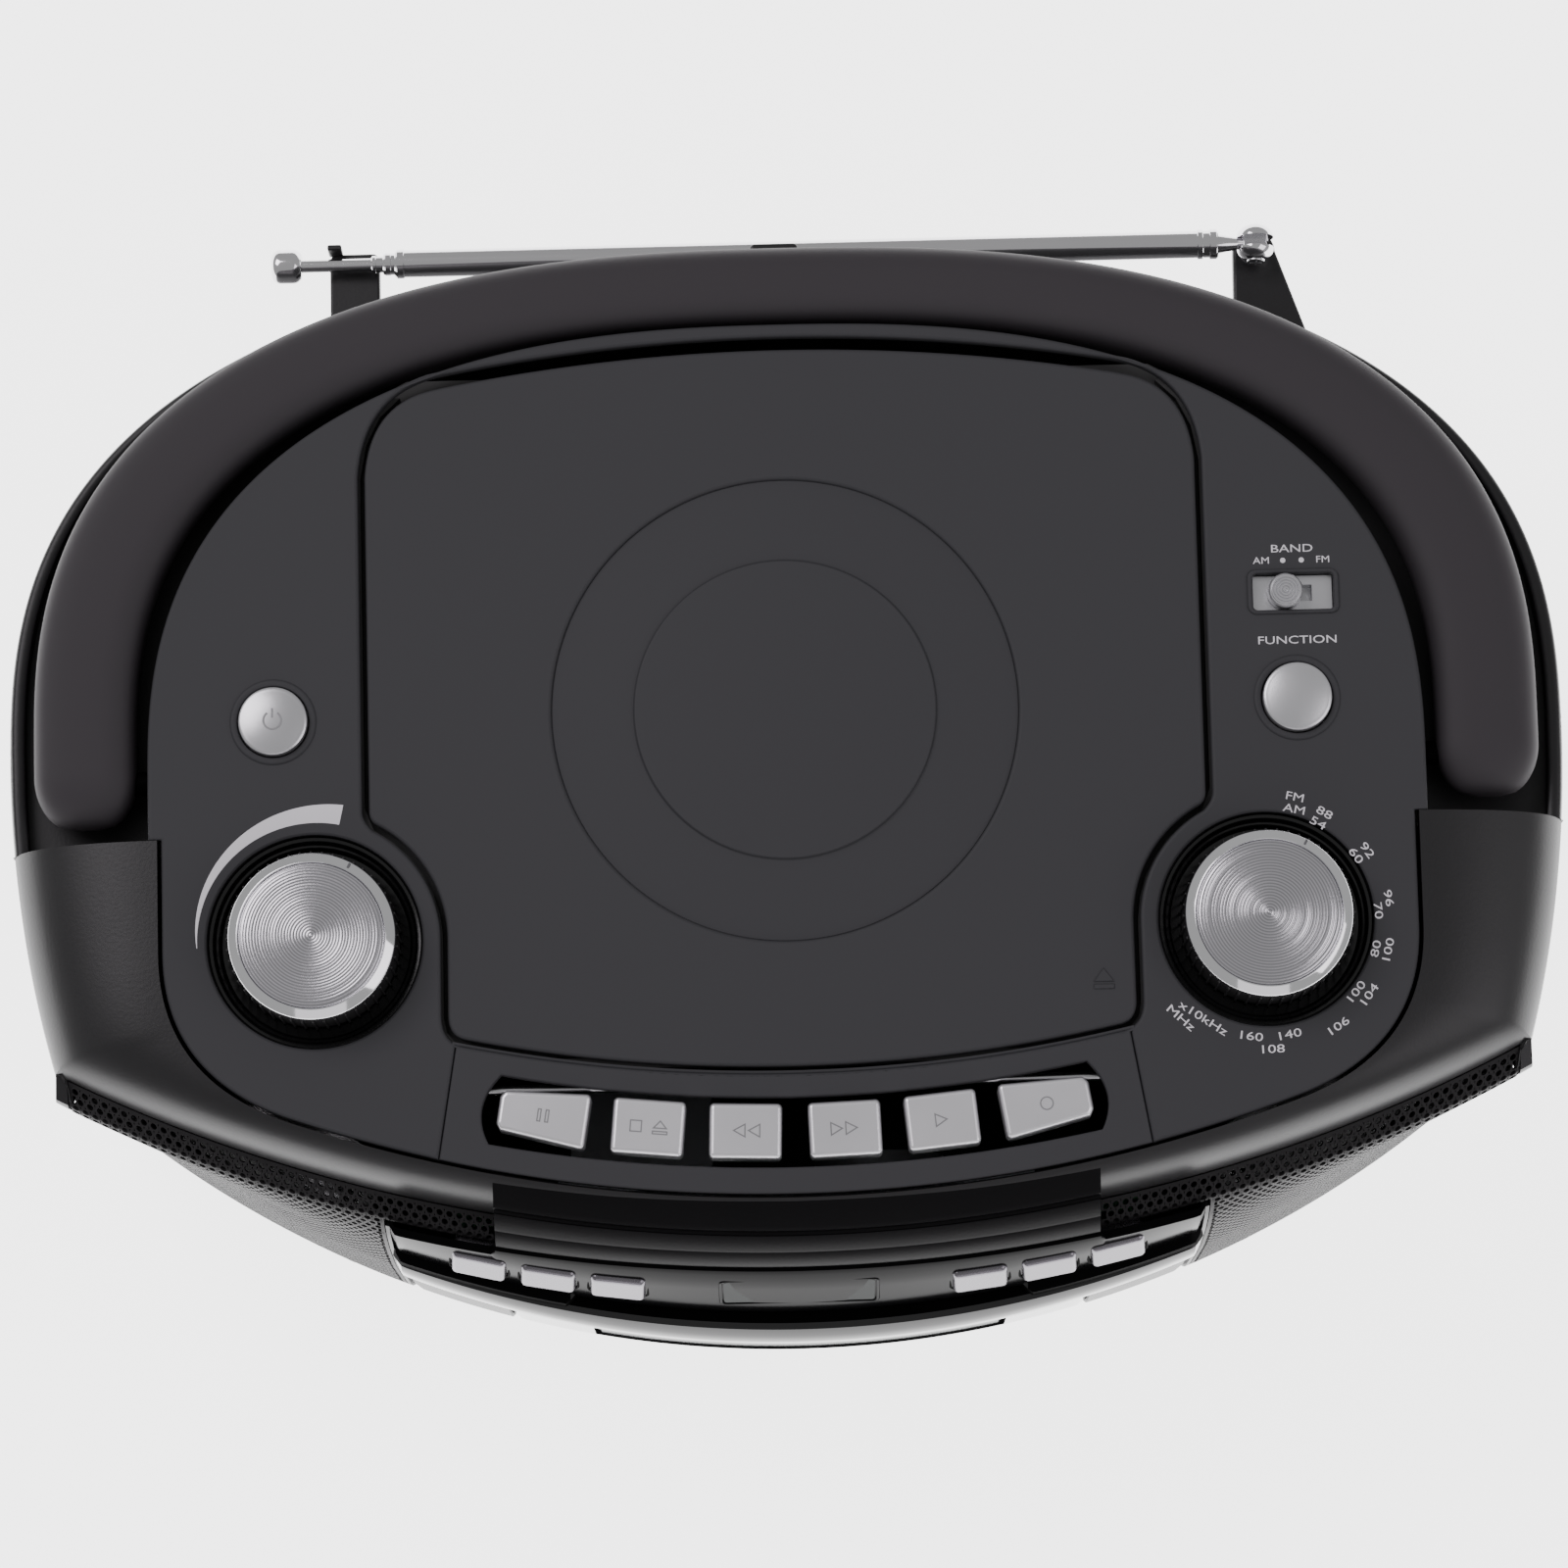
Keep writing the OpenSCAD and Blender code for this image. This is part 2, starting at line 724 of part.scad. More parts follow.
module tuning_capacitor() {
    color("ivory") at_knob(1) {
        translate([-10, -10, -22]) cube([20, 20, 12]);
        translate([0, 0, -11]) cylinder(r = 1.55, h = 8);
    }
}

module round_button(side) {
    color(silver) deck() translate([side * button_x, button_y, 0]) {
        translate([0, 0, -4]) cylinder(r = button_r, h = 5.6);
        translate([0, 0, -8]) cylinder(r = 2, h = 4.1);
    }
}

module power_button() {
    round_button(-1);
}

module function_button() {
    round_button(1);
}

module band_slider() {
    color(silver) deck() translate([button_x - band_off, band_y, 0]) {
        translate([0, 0, -1.6]) cylinder(r = 3.55, h = 4.2);
        translate([-1.5, -1.5, -5]) cube([3, 3, 3.5]);
    }
}

module band_switch() {
    color(silver) deck() difference() {
        translate([button_x - 8.1, band_y - 3.6, -9]) cube([16.2, 7.2, 7]);
        translate([button_x - 4, band_y - 1.7, -6]) cube([8, 3.4, 10]);
    }
}

module tape_key(i) {
    turn = KEYS[i][0];
    w = KEYS[i][1];
    x = key_arc * sin(turn);
    color(silver) deck() difference() {
        union() {
            key_place(turn) translate([-w / 2, -key_d / 2, -5]) cube([w, key_d, 5 + key_h]);
            translate([x - 4, key_shaft_y - 6, key_shaft_z - 2]) cube([8, 6, 4]);
            translate([x - 4, key_shaft_y, key_shaft_z]) rotate([0, 90, 0])
                cylinder(r = 2.4, h = 8);
        }
        translate([0, key_shaft_y, key_shaft_z]) rotate([0, 90, 0])
            cylinder(r = 1.05, h = 140, center = true);
    }
}

module pause_key() {
    tape_key(0);
}

module stop_eject_key() {
    tape_key(1);
}

module rewind_key() {
    tape_key(2);
}

module fast_forward_key() {
    tape_key(3);
}

module play_key() {
    tape_key(4);
}

module record_key() {
    tape_key(5);
}

module key_shaft() {
    color(chrome) deck() translate([0, key_shaft_y, key_shaft_z]) rotate([0, 90, 0])
        cylinder(r = 1, h = 128, center = true);
}

// ---- antenna ----
module at_pivot() {
    translate([pivot_x, rod_y, rod_z]) children();
}

module antenna_swivel() {
    color(chrome) at_pivot() difference() {
        union() {
            sphere(r = 4.2);
            translate([0, 0, -12]) cylinder(r = 2, h = 9);
            translate([0, 0, -12.6]) cylinder(r = 3.4, h = 3.6);
        }
        translate([-8, -1.1, -2.7]) cube([11, 2.2, 12]);
        rotate([90, 0, 0]) cylinder(r = 1, h = 12, center = true);
    }
}

module antenna_screw() {
    color(chrome) at_pivot() rotate([90, 0, 0]) cylinder(r = 1, h = 8, center = true);
}

module tube(r, bore, x0, x1) {
    at_pivot() difference() {
        translate([x0, 0, 0]) rotate([0, -90, 0]) cylinder(r = r, h = x0 - x1);
        translate([x0 - 4, 0, 0]) rotate([0, -90, 0]) cylinder(r = bore, h = x0 - x1 + 1);
    }
}

module antenna_tube_1() {
    color(chrome) {
        tube(2.9, 2.42, -6, -183.2);
        at_pivot() difference() {
            union() {
                translate([-7, -1, -2.2]) cube([7, 2, 4.4]);
                rotate([90, 0, 0]) cylinder(r = 2.2, h = 2, center = true);
            }
            rotate([90, 0, 0]) cylinder(r = 1.05, h = 12, center = true);
        }
    }
}

module antenna_tube_2() {
    color(chrome) tube(2.36, 1.88, -14, -185.7);
}

module antenna_tube_3() {
    color(chrome) tube(1.82, 1.36, -18, -188.2);
}

module antenna_tip() {
    color(chrome) at_pivot() {
        translate([-22, 0, 0]) rotate([0, -90, 0]) cylinder(r = 1.3, h = 182);
        translate([-203, 0, 0]) rotate([0, -90, 0]) cylinder(r = 3.6, h = 6.4);
    }
}

// ---- inside ----
module at_speakers() {
    for (side = [-1, 1]) translate([side * speaker_x, speaker_y, speaker_z])
        rotate([0, 0, side * speaker_turn]) rotate([-90, 0, 0]) children();
}

module speaker_baskets() {
    color("dimgray") at_speakers() difference() {
        union() {
            cylinder(r = 36, h = 2);
            cylinder(r = 30, h = 14);
            cylinder(r = 16, h = 20);
            translate([0, 0, 19]) cylinder(r = 22, h = 12);
        }
        translate([0, 0, -1]) cylinder(r = 28, h = 13);
    }
}

module speaker_cones() {
    color([0.15, 0.15, 0.15]) at_speakers() rotate_extrude()
        polygon([[0, 6], [9, 7], [27.9, 0.5], [27.9, 2], [11, 11.5], [0, 11.5]]);
}

module tape_mechanism() {
    color("slategray") {
        translate([-50, -82, 30]) cube([100, 3, 56]);
        translate([-48, -79.1, 34]) cube([30, 26, 30]);
        for (x = [-21.2, 21.2]) translate([x, -78, 62]) rotate([90, 0, 0])
            cylinder(r = 4, h = 11);
        translate([18, -79.1, 46]) rotate([-90, 0, 0]) cylinder(r = 14, h = 8);
        translate([-9, -98, 44]) cube([18, 16.1, 7]);
    }
}

module case_screws() {
    color(chrome) for (x = [-screw_x, screw_x]) for (y = [-screw_y, screw_y])
        translate([x, y, floor_z - 0.6]) {
            cylinder(r = 3, h = 0.6);
            cylinder(r = 1.5, h = 2);
        }
}

front_cabinet();
rear_cabinet();
antenna_bracket();
top_panel();
key_surround();
cd_lid();
cd_tray();
lid_hinge_pins();
grille_left();
grille_right();
control_panel();
display_window();
display_module();
door_surround();
cassette_door();
cassette_holder();
pivot_pins();
battery_door();
battery_box();
battery_contacts();
feet();
handle();
volume_knob();
volume_knob_cap();
volume_pot();
tuning_knob();
tuning_knob_cap();
tuning_capacitor();
power_button();
function_button();
band_slider();
band_switch();
pause_key();
stop_eject_key();
rewind_key();
fast_forward_key();
play_key();
record_key();
key_shaft();
front_button(0);  // button_left_outer
front_button(1);  // button_left_middle
front_button(2);  // button_left_inner
front_button(3);  // button_right_inner
front_button(4);  // button_right_middle
front_button(5);  // button_right_outer
antenna_swivel();
antenna_screw();
antenna_tube_1();
antenna_tube_2();
antenna_tube_3();
antenna_tip();
speaker_baskets();
speaker_cones();
tape_mechanism();
cd_mechanism();
disc_hub();
main_board();
transformer();
ac_inlet();
case_screws();
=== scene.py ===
"""Looks of a portable radio, cassette and disc player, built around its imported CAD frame.

Lengths inside the builders are millimetres in the row frame, and become metres when a mesh is made.
Deck parts are drawn in the deck's own frame, where z = 0 is the deck's surface, and then tilted with it.
"""
import logging
import math
from dataclasses import dataclass, replace
from enum import Enum
from functools import partial
from typing import Callable, Sequence

import bmesh
import bpy
import numpy as np
from mathutils import Matrix, Vector
from mathutils.geometry import delaunay_2d_cdt


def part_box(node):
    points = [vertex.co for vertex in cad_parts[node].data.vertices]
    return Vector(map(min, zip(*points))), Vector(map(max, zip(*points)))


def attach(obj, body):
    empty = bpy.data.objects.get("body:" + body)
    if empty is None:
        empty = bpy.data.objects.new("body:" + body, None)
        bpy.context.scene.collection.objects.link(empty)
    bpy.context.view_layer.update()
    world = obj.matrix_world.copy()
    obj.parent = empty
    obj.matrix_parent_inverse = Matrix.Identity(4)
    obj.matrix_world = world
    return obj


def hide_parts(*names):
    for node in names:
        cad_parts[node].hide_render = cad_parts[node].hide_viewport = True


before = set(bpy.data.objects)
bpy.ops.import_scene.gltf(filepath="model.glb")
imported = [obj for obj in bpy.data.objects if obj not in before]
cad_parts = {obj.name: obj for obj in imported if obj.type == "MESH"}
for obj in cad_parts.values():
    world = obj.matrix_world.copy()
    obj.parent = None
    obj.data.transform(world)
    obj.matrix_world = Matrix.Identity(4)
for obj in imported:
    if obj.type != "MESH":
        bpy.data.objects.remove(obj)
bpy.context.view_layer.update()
LOG = logging.getLogger("player")

MM = 0.001
DECK_Z = 138.2
DECK_TILT = math.radians(2)
DECK_FRONT = (-89.8, 306.0)  # front arc: its foremost y and its radius
DECK_SIDE = 127.9  # half width beside the knobs
DECK_REAR = (130.6, 92.2, -2.0)  # rear curve: half width, depth and the y it starts from
DECK_FRONT_COLUMNS, DECK_CORNER_STEPS = 50, 24
PANEL_FRONT_HALF = 72.2
PANEL_BACK = (68.4, -65.6, 322.0)  # the key panel's back arc: half width, foremost y and radius
PANEL_COLUMNS = 61
Array = np.ndarray
Mapper = Callable[[Array], Array]


# ---------------------------------------------------------------- geometry
def to_deck(points: Array) -> Array:
    """Tilts points by the deck's fall about X and lifts them to its height.

    Args:
        points: places in the deck's frame, last axis x, y, z.

    Returns:
        The same places in the row frame.
    """
    x, y, z = np.moveaxis(np.asarray(points, float), -1, 0)
    c, s = math.cos(DECK_TILT), math.sin(DECK_TILT)
    return np.stack([x, y * c - z * s, DECK_Z + y * s + z * c], -1)


def unchanged(points: Array) -> Array:
    """Leaves points where they are."""
    return points


def from_deck(point: Sequence[float]) -> Array:
    """The inverse of to_deck for one place in millimetres."""
    x, y, z = point
    c, s = math.cos(DECK_TILT), math.sin(DECK_TILT)
    return np.array([x, y * c + (z - DECK_Z) * s, -y * s + (z - DECK_Z) * c])


def box_mm(node: str) -> tuple[Array, Array]:
    """Low and high corners of a CAD node's box, in millimetres."""
    low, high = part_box(node)
    return np.array(low) / MM, np.array(high) / MM


def centre_of(node: str) -> Array:
    """Middle of a CAD node's box, in millimetres."""
    low, high = box_mm(node)
    return (low + high) / 2


def arc_y(x: Array, apex: Array, radius: Array) -> Array:
    """Front-to-back place of a circle arc that comes furthest forward, at apex, where x is 0."""
    return apex + radius - np.sqrt(radius * radius - x * x)


def superellipse(a: float, b: float, y0: float, angle: Array, power: float = 2.5) -> Array:
    """Points a|cos|^(2/n), b|sin|^(2/n) of a rounded rectangle about (0, y0)."""
    c, s = np.cos(angle), np.sin(angle)
    x = a * np.sign(c) * np.abs(c) ** (2 / power)
    y = b * np.sign(s) * np.abs(s) ** (2 / power)
    return np.stack([x, y + y0], -1)


def bezier(a: Sequence[float], b: Sequence[float], c: Sequence[float], count: int) -> Array:
    """Quadratic curve from a to c that leaves a and reaches c along the lines to b, without a itself."""
    t = np.linspace(0, 1, count + 1)[1:, None]
    return (1 - t) ** 2 * np.array(a) + 2 * t * (1 - t) * np.array(b) + t * t * np.array(c)


def circle(centre: Sequence[float], radius: float, count: int = 96) -> Array:
    """Counter-clockwise circle as a closed loop."""
    t = np.linspace(0, 2 * math.pi, count, endpoint=False)
    return np.stack([centre[0] + radius * np.cos(t), centre[1] + radius * np.sin(t)], -1)


def rounded_box(width: float, depth: float, radius: float, count: int = 8) -> Array:
    """Counter-clockwise rectangle about the origin with round corners."""
    t = np.linspace(0, math.pi / 2, count)
    corners = [(1, 1), (-1, 1), (-1, -1), (1, -1)]
    parts = []
    for k, (sx, sy) in enumerate(corners):
        a = t + k * math.pi / 2
        mid = np.array([sx * (width / 2 - radius), sy * (depth / 2 - radius)])
        parts.append(mid + radius * np.stack([np.cos(a), np.sin(a)], -1))
    return np.concatenate(parts)


def both_sides(half: Array) -> Array:
    """Closes the right half of an outline, which runs front to rear, with its mirror image."""
    left = (half * [-1, 1])[::-1]
    loop = np.concatenate([half, left])
    keep = np.linalg.norm(loop - np.roll(loop, 1, 0), axis=1) > 1e-6
    return loop[keep]


def resample(loop: Array, step: float) -> Array:
    """Adds points along a closed loop's straight stretches so that none is longer than step."""
    parts = []
    for a, b in zip(loop, np.roll(loop, -1, 0)):
        n = max(1, int(np.ceil(np.linalg.norm(b - a) / step)))
        parts.append(a + (b - a) * np.linspace(0, 1, n, endpoint=False)[:, None])
    return np.concatenate(parts)


def offset_loop(loop: Array, distance: float) -> Array:
    """Moves a closed loop to its left by distance, along the mitre of its neighbouring edges."""
    before = loop - np.roll(loop, 1, 0)
    after = np.roll(before, -1, 0)
    unit = [e / np.linalg.norm(e, axis=1, keepdims=True) for e in (before, after)]
    n1, n2 = (np.stack([-e[:, 1], e[:, 0]], -1) for e in unit)
    mitre = n1 + n2
    mitre /= np.maximum((mitre * n1).sum(1, keepdims=True), 0.3)
    return loop + distance * mitre


def grid_quads(rows: int, cols: int, wrap: bool = False) -> Array:
    """Quads of a rows by cols grid of points, row by row.

    Args:
        rows: number of rows of points.
        cols: number of points in a row.
        wrap: whether the last point of each row joins its first.

    Returns:
        Corner numbers, four to a face.
    """
    i = np.arange(rows - 1)[:, None] * cols
    j = np.arange(cols if wrap else cols - 1)[None, :]
    k = (j + 1) % cols
    return np.stack([i + j, i + k, i + cols + k, i + cols + j], -1).reshape(-1, 4)


def piece(name: str, points: Array, faces: Sequence, crease: float = 35.0,
          outward: bool = True, merge: float = 0.0005) -> bpy.types.Object:
    """Makes a mesh object from millimetre points, with its doubles merged and its faces outward.

    Args:
        name: the piece's name.
        points: places in the row frame, in millimetres.
        faces: corner numbers of each face.
        crease: edges sharper than this many degrees stay sharp.
        outward: whether the faces enclose a solid, so that they can be turned outwards.
        merge: points closer than this, in millimetres, become one.

    Returns:
        The new object, linked to the scene.
    """
    mesh = bpy.data.meshes.new(name)
    mesh.from_pydata((np.asarray(points, float).reshape(-1, 3) * MM).tolist(), [],
                     [list(map(int, f)) for f in faces])
    work = bmesh.new()
    work.from_mesh(mesh)
    bmesh.ops.remove_doubles(work, verts=work.verts, dist=merge * MM)
    bmesh.ops.dissolve_degenerate(work, edges=work.edges, dist=merge * MM)
    if outward:
        bmesh.ops.recalc_face_normals(work, faces=work.faces)
    work.to_mesh(mesh)
    work.free()
    obj = bpy.data.objects.new(name, mesh)
    bpy.context.scene.collection.objects.link(obj)
    shade(obj, crease)
    return obj


def shade(obj: bpy.types.Object, crease: float) -> None:
    """Shades a piece smooth, with edges sharper than crease degrees left sharp."""
    obj.data.shade_smooth()
    obj.data.set_sharp_from_angle(angle=math.radians(crease))


def flatten_caps(obj: bpy.types.Object, up: Array) -> None:
    """Shades the faces that look along up, either way, as flat."""
    mesh = obj.data
    normals = np.zeros(len(mesh.polygons) * 3)
    mesh.polygon_normals.foreach_get("vector", normals)
    level = np.abs(normals.reshape(-1, 3) @ up) > 0.9998
    mesh.polygons.foreach_set("use_smooth", ~level)


def settle(obj: bpy.types.Object, crease: float = 35.0) -> bpy.types.Object:
    """Applies a piece's modifiers to its mesh."""
    graph = bpy.context.evaluated_depsgraph_get()
    mesh = bpy.data.meshes.new_from_object(obj.evaluated_get(graph))
    mesh.name = obj.name
    obj.modifiers.clear()
    obj.data = mesh
    mesh.set_sharp_from_angle(angle=math.radians(crease))
    return obj


def thicken(obj: bpy.types.Object, wall: float, crease: float = 35.0) -> bpy.types.Object:
    """Gives a sheet a wall on the side away from its normals."""
    mod = obj.modifiers.new("wall", "SOLIDIFY")
    mod.thickness = wall * MM
    mod.offset = -1
    return settle(obj, crease)


def joined(name: str, parts: Sequence[bpy.types.Object]) -> bpy.types.Object:
    """Joins several pieces into one mesh object, which keeps their shading."""
    work = bmesh.new()
    for part in parts:
        work.from_mesh(part.data)
        bpy.data.objects.remove(part)
    mesh = bpy.data.meshes.new(name)
    work.to_mesh(mesh)
    work.free()
    obj = bpy.data.objects.new(name, mesh)
    bpy.context.scene.collection.objects.link(obj)
    return obj


def within(points: Array, loop: Array) -> Array:
    """Whether each point lies inside a closed loop, from how many edges a ray along +X crosses."""
    ax, ay = loop.T[:, :, None]
    bx, by = np.roll(loop, -1, 0).T[:, :, None]
    x, y = points.T
    with np.errstate(divide="ignore", invalid="ignore"):
        crosses = ((ay > y) != (by > y)) & (x < ax + (bx - ax) * (y - ay) / (by - ay))
    return crosses.sum(0) % 2 == 1


def fill(loops: Sequence[Array]) -> tuple[Array, Array]:
    """Triangles that fill the first loop less the others.

    Args:
        loops: closed outlines; the first holds the rest.

    Returns:
        The points, and the corner numbers of each triangle.
    """
    edges, start = [], 0
    for loop in loops:
        n = len(loop)
        edges += [(start + i, start + (i + 1) % n) for i in range(n)]
        start += n
    out = delaunay_2d_cdt([Vector(p) for p in np.concatenate(loops)], edges, [], 0, 1e-6)
    points, triangles = np.array([tuple(p) for p in out[0]]), np.array(out[2])
    middle = points[triangles].mean(1)
    keep = within(middle, loops[0])
    for hole in loops[1:]:
        keep &= ~within(middle, hole)
    return points, triangles[keep]


def plate(name: str, loops: Sequence[Array], top: float, bottom: float, edge: float,
          place: Mapper = to_deck, steps: int = 3, crease: float = 35.0,
          wide: float = 1.0) -> bpy.types.Object:
    """A flat part with a rounded upper edge.

    The edge is a quarter ellipse: at angle a it stands edge(1 - cos a) in from the outline and
    edge(1 - sin a) below the top. The caps fill the outlines at both heights.

    Args:
        name: the piece's name.
        loops: the outline, then any holes.
        top: height of the upper face.
        bottom: height of the lower face.
        edge: height of the rounding, in millimetres.
        place: takes points from the part's frame to the row frame.
        steps: faces across the rounding.
        crease: edges sharper than this stay sharp.
        wide: width of the rounding over its height.

    Returns:
        The piece.
    """
    ccw = [loop if (signed_area(loop) > 0) == (k == 0) else loop[::-1] for k, loop in enumerate(loops)]
    points, faces = [], []
    count = 0

    def add(pts: Array, fcs: Sequence) -> None:
        """Appends points and the faces between them."""
        nonlocal count
        points.append(pts)
        faces.extend([[int(i) + count for i in f] for f in fcs])
        count += len(pts)

    angles = np.linspace(0, math.pi / 2, steps + 1)
    for loop in ccw:
        rings = [np.column_stack([loop, np.full(len(loop), bottom)])]
        for a in angles:
            inner = offset_loop(loop, edge * wide * (1 - math.cos(a)))
            rings.append(np.column_stack([inner, np.full(len(loop), top - edge * (1 - math.sin(a)))]))
        add(np.concatenate(rings), grid_quads(len(rings), len(loop), True))
    flat, tris = fill([offset_loop(loop, edge * wide) for loop in ccw])
    add(np.column_stack([flat, np.full(len(flat), top)]), tris)
    flat, tris = fill(ccw)
    add(np.column_stack([flat, np.full(len(flat), bottom)]), tris)
    obj = piece(name, place(np.concatenate(points)), faces, crease)
    up = np.diff(place(np.array([[0.0, 0, 0], [0, 0, 1]])), axis=0)[0]
    flatten_caps(obj, up)
    return obj


def signed_area(loop: Array) -> float:
    """Area inside a closed loop, positive when it runs counter-clockwise."""
    x, y = loop.T
    return float((x * np.roll(y, -1) - np.roll(x, -1) * y).sum() / 2)


def lathe(name: str, profile: Sequence[Sequence[float]], centre: Sequence[float],
          place: Mapper = to_deck, segments: int = 96, crease: float = 30.0) -> bpy.types.Object:
    """Turns a profile of (radius, height) pairs about a vertical axis through centre.

    Args:
        name: the piece's name.
        profile: radius and height of each ring; it begins and ends on the axis.
        centre: where the axis stands, x and y, and the height added to every ring.
        place: takes points from the part's frame to the row frame.
        segments: points in a ring.
        crease: edges sharper than this stay sharp.

    Returns:
        The piece.
    """
    shape = np.asarray(profile, float)
    t = np.linspace(0, 2 * math.pi, segments, endpoint=False)
    r, z = shape[:, :1], shape[:, 1:]
    points = np.stack([centre[0] + r * np.cos(t), centre[1] + r * np.sin(t),
                       centre[2] + z + 0 * t], -1)
    return piece(name, place(points), grid_quads(len(shape), segments, True), crease)


def rounded_profile(corners: Sequence[Sequence[float]], steps: int = 4) -> Array:
    """A profile with its corners rounded by quadratic curves.

    Args:
        corners: radius, height and rounding radius of each corner, in order.
        steps: faces across each rounding.

    Returns:
        The profile's points.
    """
    pts = np.asarray([c[:2] for c in corners], float)
    out = [pts[0:1]]
    for i in range(1, len(pts) - 1):
        r = corners[i][2] if len(corners[i]) > 2 else 0
        a, b = pts[i - 1] - pts[i], pts[i + 1] - pts[i]
        la, lb = np.linalg.norm(a), np.linalg.norm(b)
        if r <= 0:
            out.append(pts[i:i + 1])
            continue
        start = pts[i] + a / la * min(r, la * 0.49)
        end = pts[i] + b / lb * min(r, lb * 0.49)
        out.append(np.concatenate([start[None], bezier(start, pts[i], end, steps)]))
    out.append(pts[-1:])
    return np.concatenate(out)


def block(name: str, loop: Array, low: float, high: float, edge: float, place: Mapper) -> bpy.types.Object:
    """An upright prism of a closed outline with a rounded top edge."""
    return plate(name, [loop], high, low, edge, place, steps=4)


def bearing(degrees: float) -> Array:
    """Unit vector that lies degrees counter-clockwise from +X."""
    a = math.radians(degrees)
    return np.array([math.cos(a), math.sin(a)])


def printed(name: str, loops: Sequence[Array]) -> bpy.types.Object:
    """A flat mark 0.06 mm proud of the deck."""
    return plate(name, loops, 0.06, -0.05, 0.02, steps=1)


def turn_matrix(angle: float) -> Array:
    """Matrix that turns row vectors counter-clockwise by angle."""
    c, s = math.cos(angle), math.sin(angle)
    return np.array([[c, s], [-s, c]])


# ---------------------------------------------------------------- finishes
class Pattern(Enum):
    """Fine surface pattern of a finish."""
    GRAIN = "grain"
    SPUN = "spun"
    DRAWN = "drawn"


def new_group(name: str, inputs: Sequence[tuple], outputs: Sequence[tuple]) -> bpy.types.NodeTree:
    """An empty shader group with named sockets.

    Args:
        name: the group's name.
        inputs: name, socket type and default value of each input.
        outputs: name and socket type of each output.

    Returns:
        The node tree.
    """
    tree = bpy.data.node_groups.new(name, "ShaderNodeTree")
    for label, kind, value in inputs:
        socket = tree.interface.new_socket(label, in_out="INPUT", socket_type=kind)
        socket.default_value = value
    for label, kind in outputs:
        tree.interface.new_socket(label, in_out="OUTPUT", socket_type=kind)
    tree.nodes.new("NodeGroupInput").name = "in"
    tree.nodes.new("NodeGroupOutput").name = "out"
    return tree


def math_node(tree: bpy.types.NodeTree, operation: str, a: object, b: object = 0.0) -> object:
    """A Math node fed with sockets or numbers; returns its output socket."""
    node = tree.nodes.new("ShaderNodeMath")
    node.operation = operation
    for socket, value in zip(node.inputs, (a, b)):
        if isinstance(value, bpy.types.NodeSocket):
            tree.links.new(value, socket)
        else:
            socket.default_value = value
    return node.outputs[0]


def grain_group() -> bpy.types.NodeTree:
    """Moulded grain: two sizes of noise give a height, a mask for roughness and a broad tone."""
    if "moulded_grain" in bpy.data.node_groups:
        return bpy.data.node_groups["moulded_grain"]
    tree = new_group("moulded_grain", [("Vector", "NodeSocketVector", (0, 0, 0)),
                                       ("Size", "NodeSocketFloat", 1500.0)],
                     [("Height", "NodeSocketFloat"), ("Mask", "NodeSocketFloat"),
                      ("Tone", "NodeSocketFloat")])
    nodes, links = tree.nodes, tree.links
    fine, broad = nodes.new("ShaderNodeTexNoise"), nodes.new("ShaderNodeTexNoise")
    for noise, detail in ((fine, 2.0), (broad, 3.0)):
        noise.inputs["Detail"].default_value = detail
        links.new(nodes["in"].outputs["Vector"], noise.inputs["Vector"])
    links.new(nodes["in"].outputs["Size"], fine.inputs["Scale"])
    broad.inputs["Scale"].default_value = 38.0
    links.new(fine.outputs["Fac"], nodes["out"].inputs["Height"])
    mask = math_node(tree, "MULTIPLY", fine.outputs["Fac"], broad.outputs["Fac"])
    links.new(mask, nodes["out"].inputs["Mask"])
    links.new(broad.outputs["Fac"], nodes["out"].inputs["Tone"])
    return tree


def spun_group() -> bpy.types.NodeTree:
    """Turned metal: ridges every Pitch along the distance from a vertical axis, with a little noise. Its
    mask, which sets the roughness, also lightens the colour on the crests and darkens it in the troughs:
    painted groove shade.
    """
    if "turned_rings" in bpy.data.node_groups:
        return bpy.data.node_groups["turned_rings"]
    tree = new_group("turned_rings", [("Vector", "NodeSocketVector", (0, 0, 0)),
                                      ("Pitch", "NodeSocketFloat", 0.0006)],
                     [("Height", "NodeSocketFloat"), ("Mask", "NodeSocketFloat")])
    nodes, links = tree.nodes, tree.links
    flat = nodes.new("ShaderNodeVectorMath")
    flat.operation = "MULTIPLY"
    flat.inputs[1].default_value = (1, 1, 0)
    links.new(nodes["in"].outputs["Vector"], flat.inputs[0])
    length = nodes.new("ShaderNodeVectorMath")
    length.operation = "LENGTH"
    links.new(flat.outputs[0], length.inputs[0])
    turns = math_node(tree, "DIVIDE", length.outputs["Value"], nodes["in"].outputs["Pitch"])
    wave = math_node(tree, "SINE", math_node(tree, "MULTIPLY", turns, 2 * math.pi))
    rings = nodes.new("ShaderNodeTexNoise")
    rings.noise_dimensions = "1D"
    rings.inputs["Scale"].default_value = 1.3
    links.new(turns, rings.inputs["W"])
    height = math_node(tree, "ADD", math_node(tree, "MULTIPLY", wave, 0.5), rings.outputs["Fac"])
    links.new(height, nodes["out"].inputs["Height"])
    ring_shade_mask = math_node(tree, "ADD", math_node(tree, "MULTIPLY", wave, 0.35), 0.5)
    links.new(ring_shade_mask, nodes["out"].inputs["Mask"])
    return tree


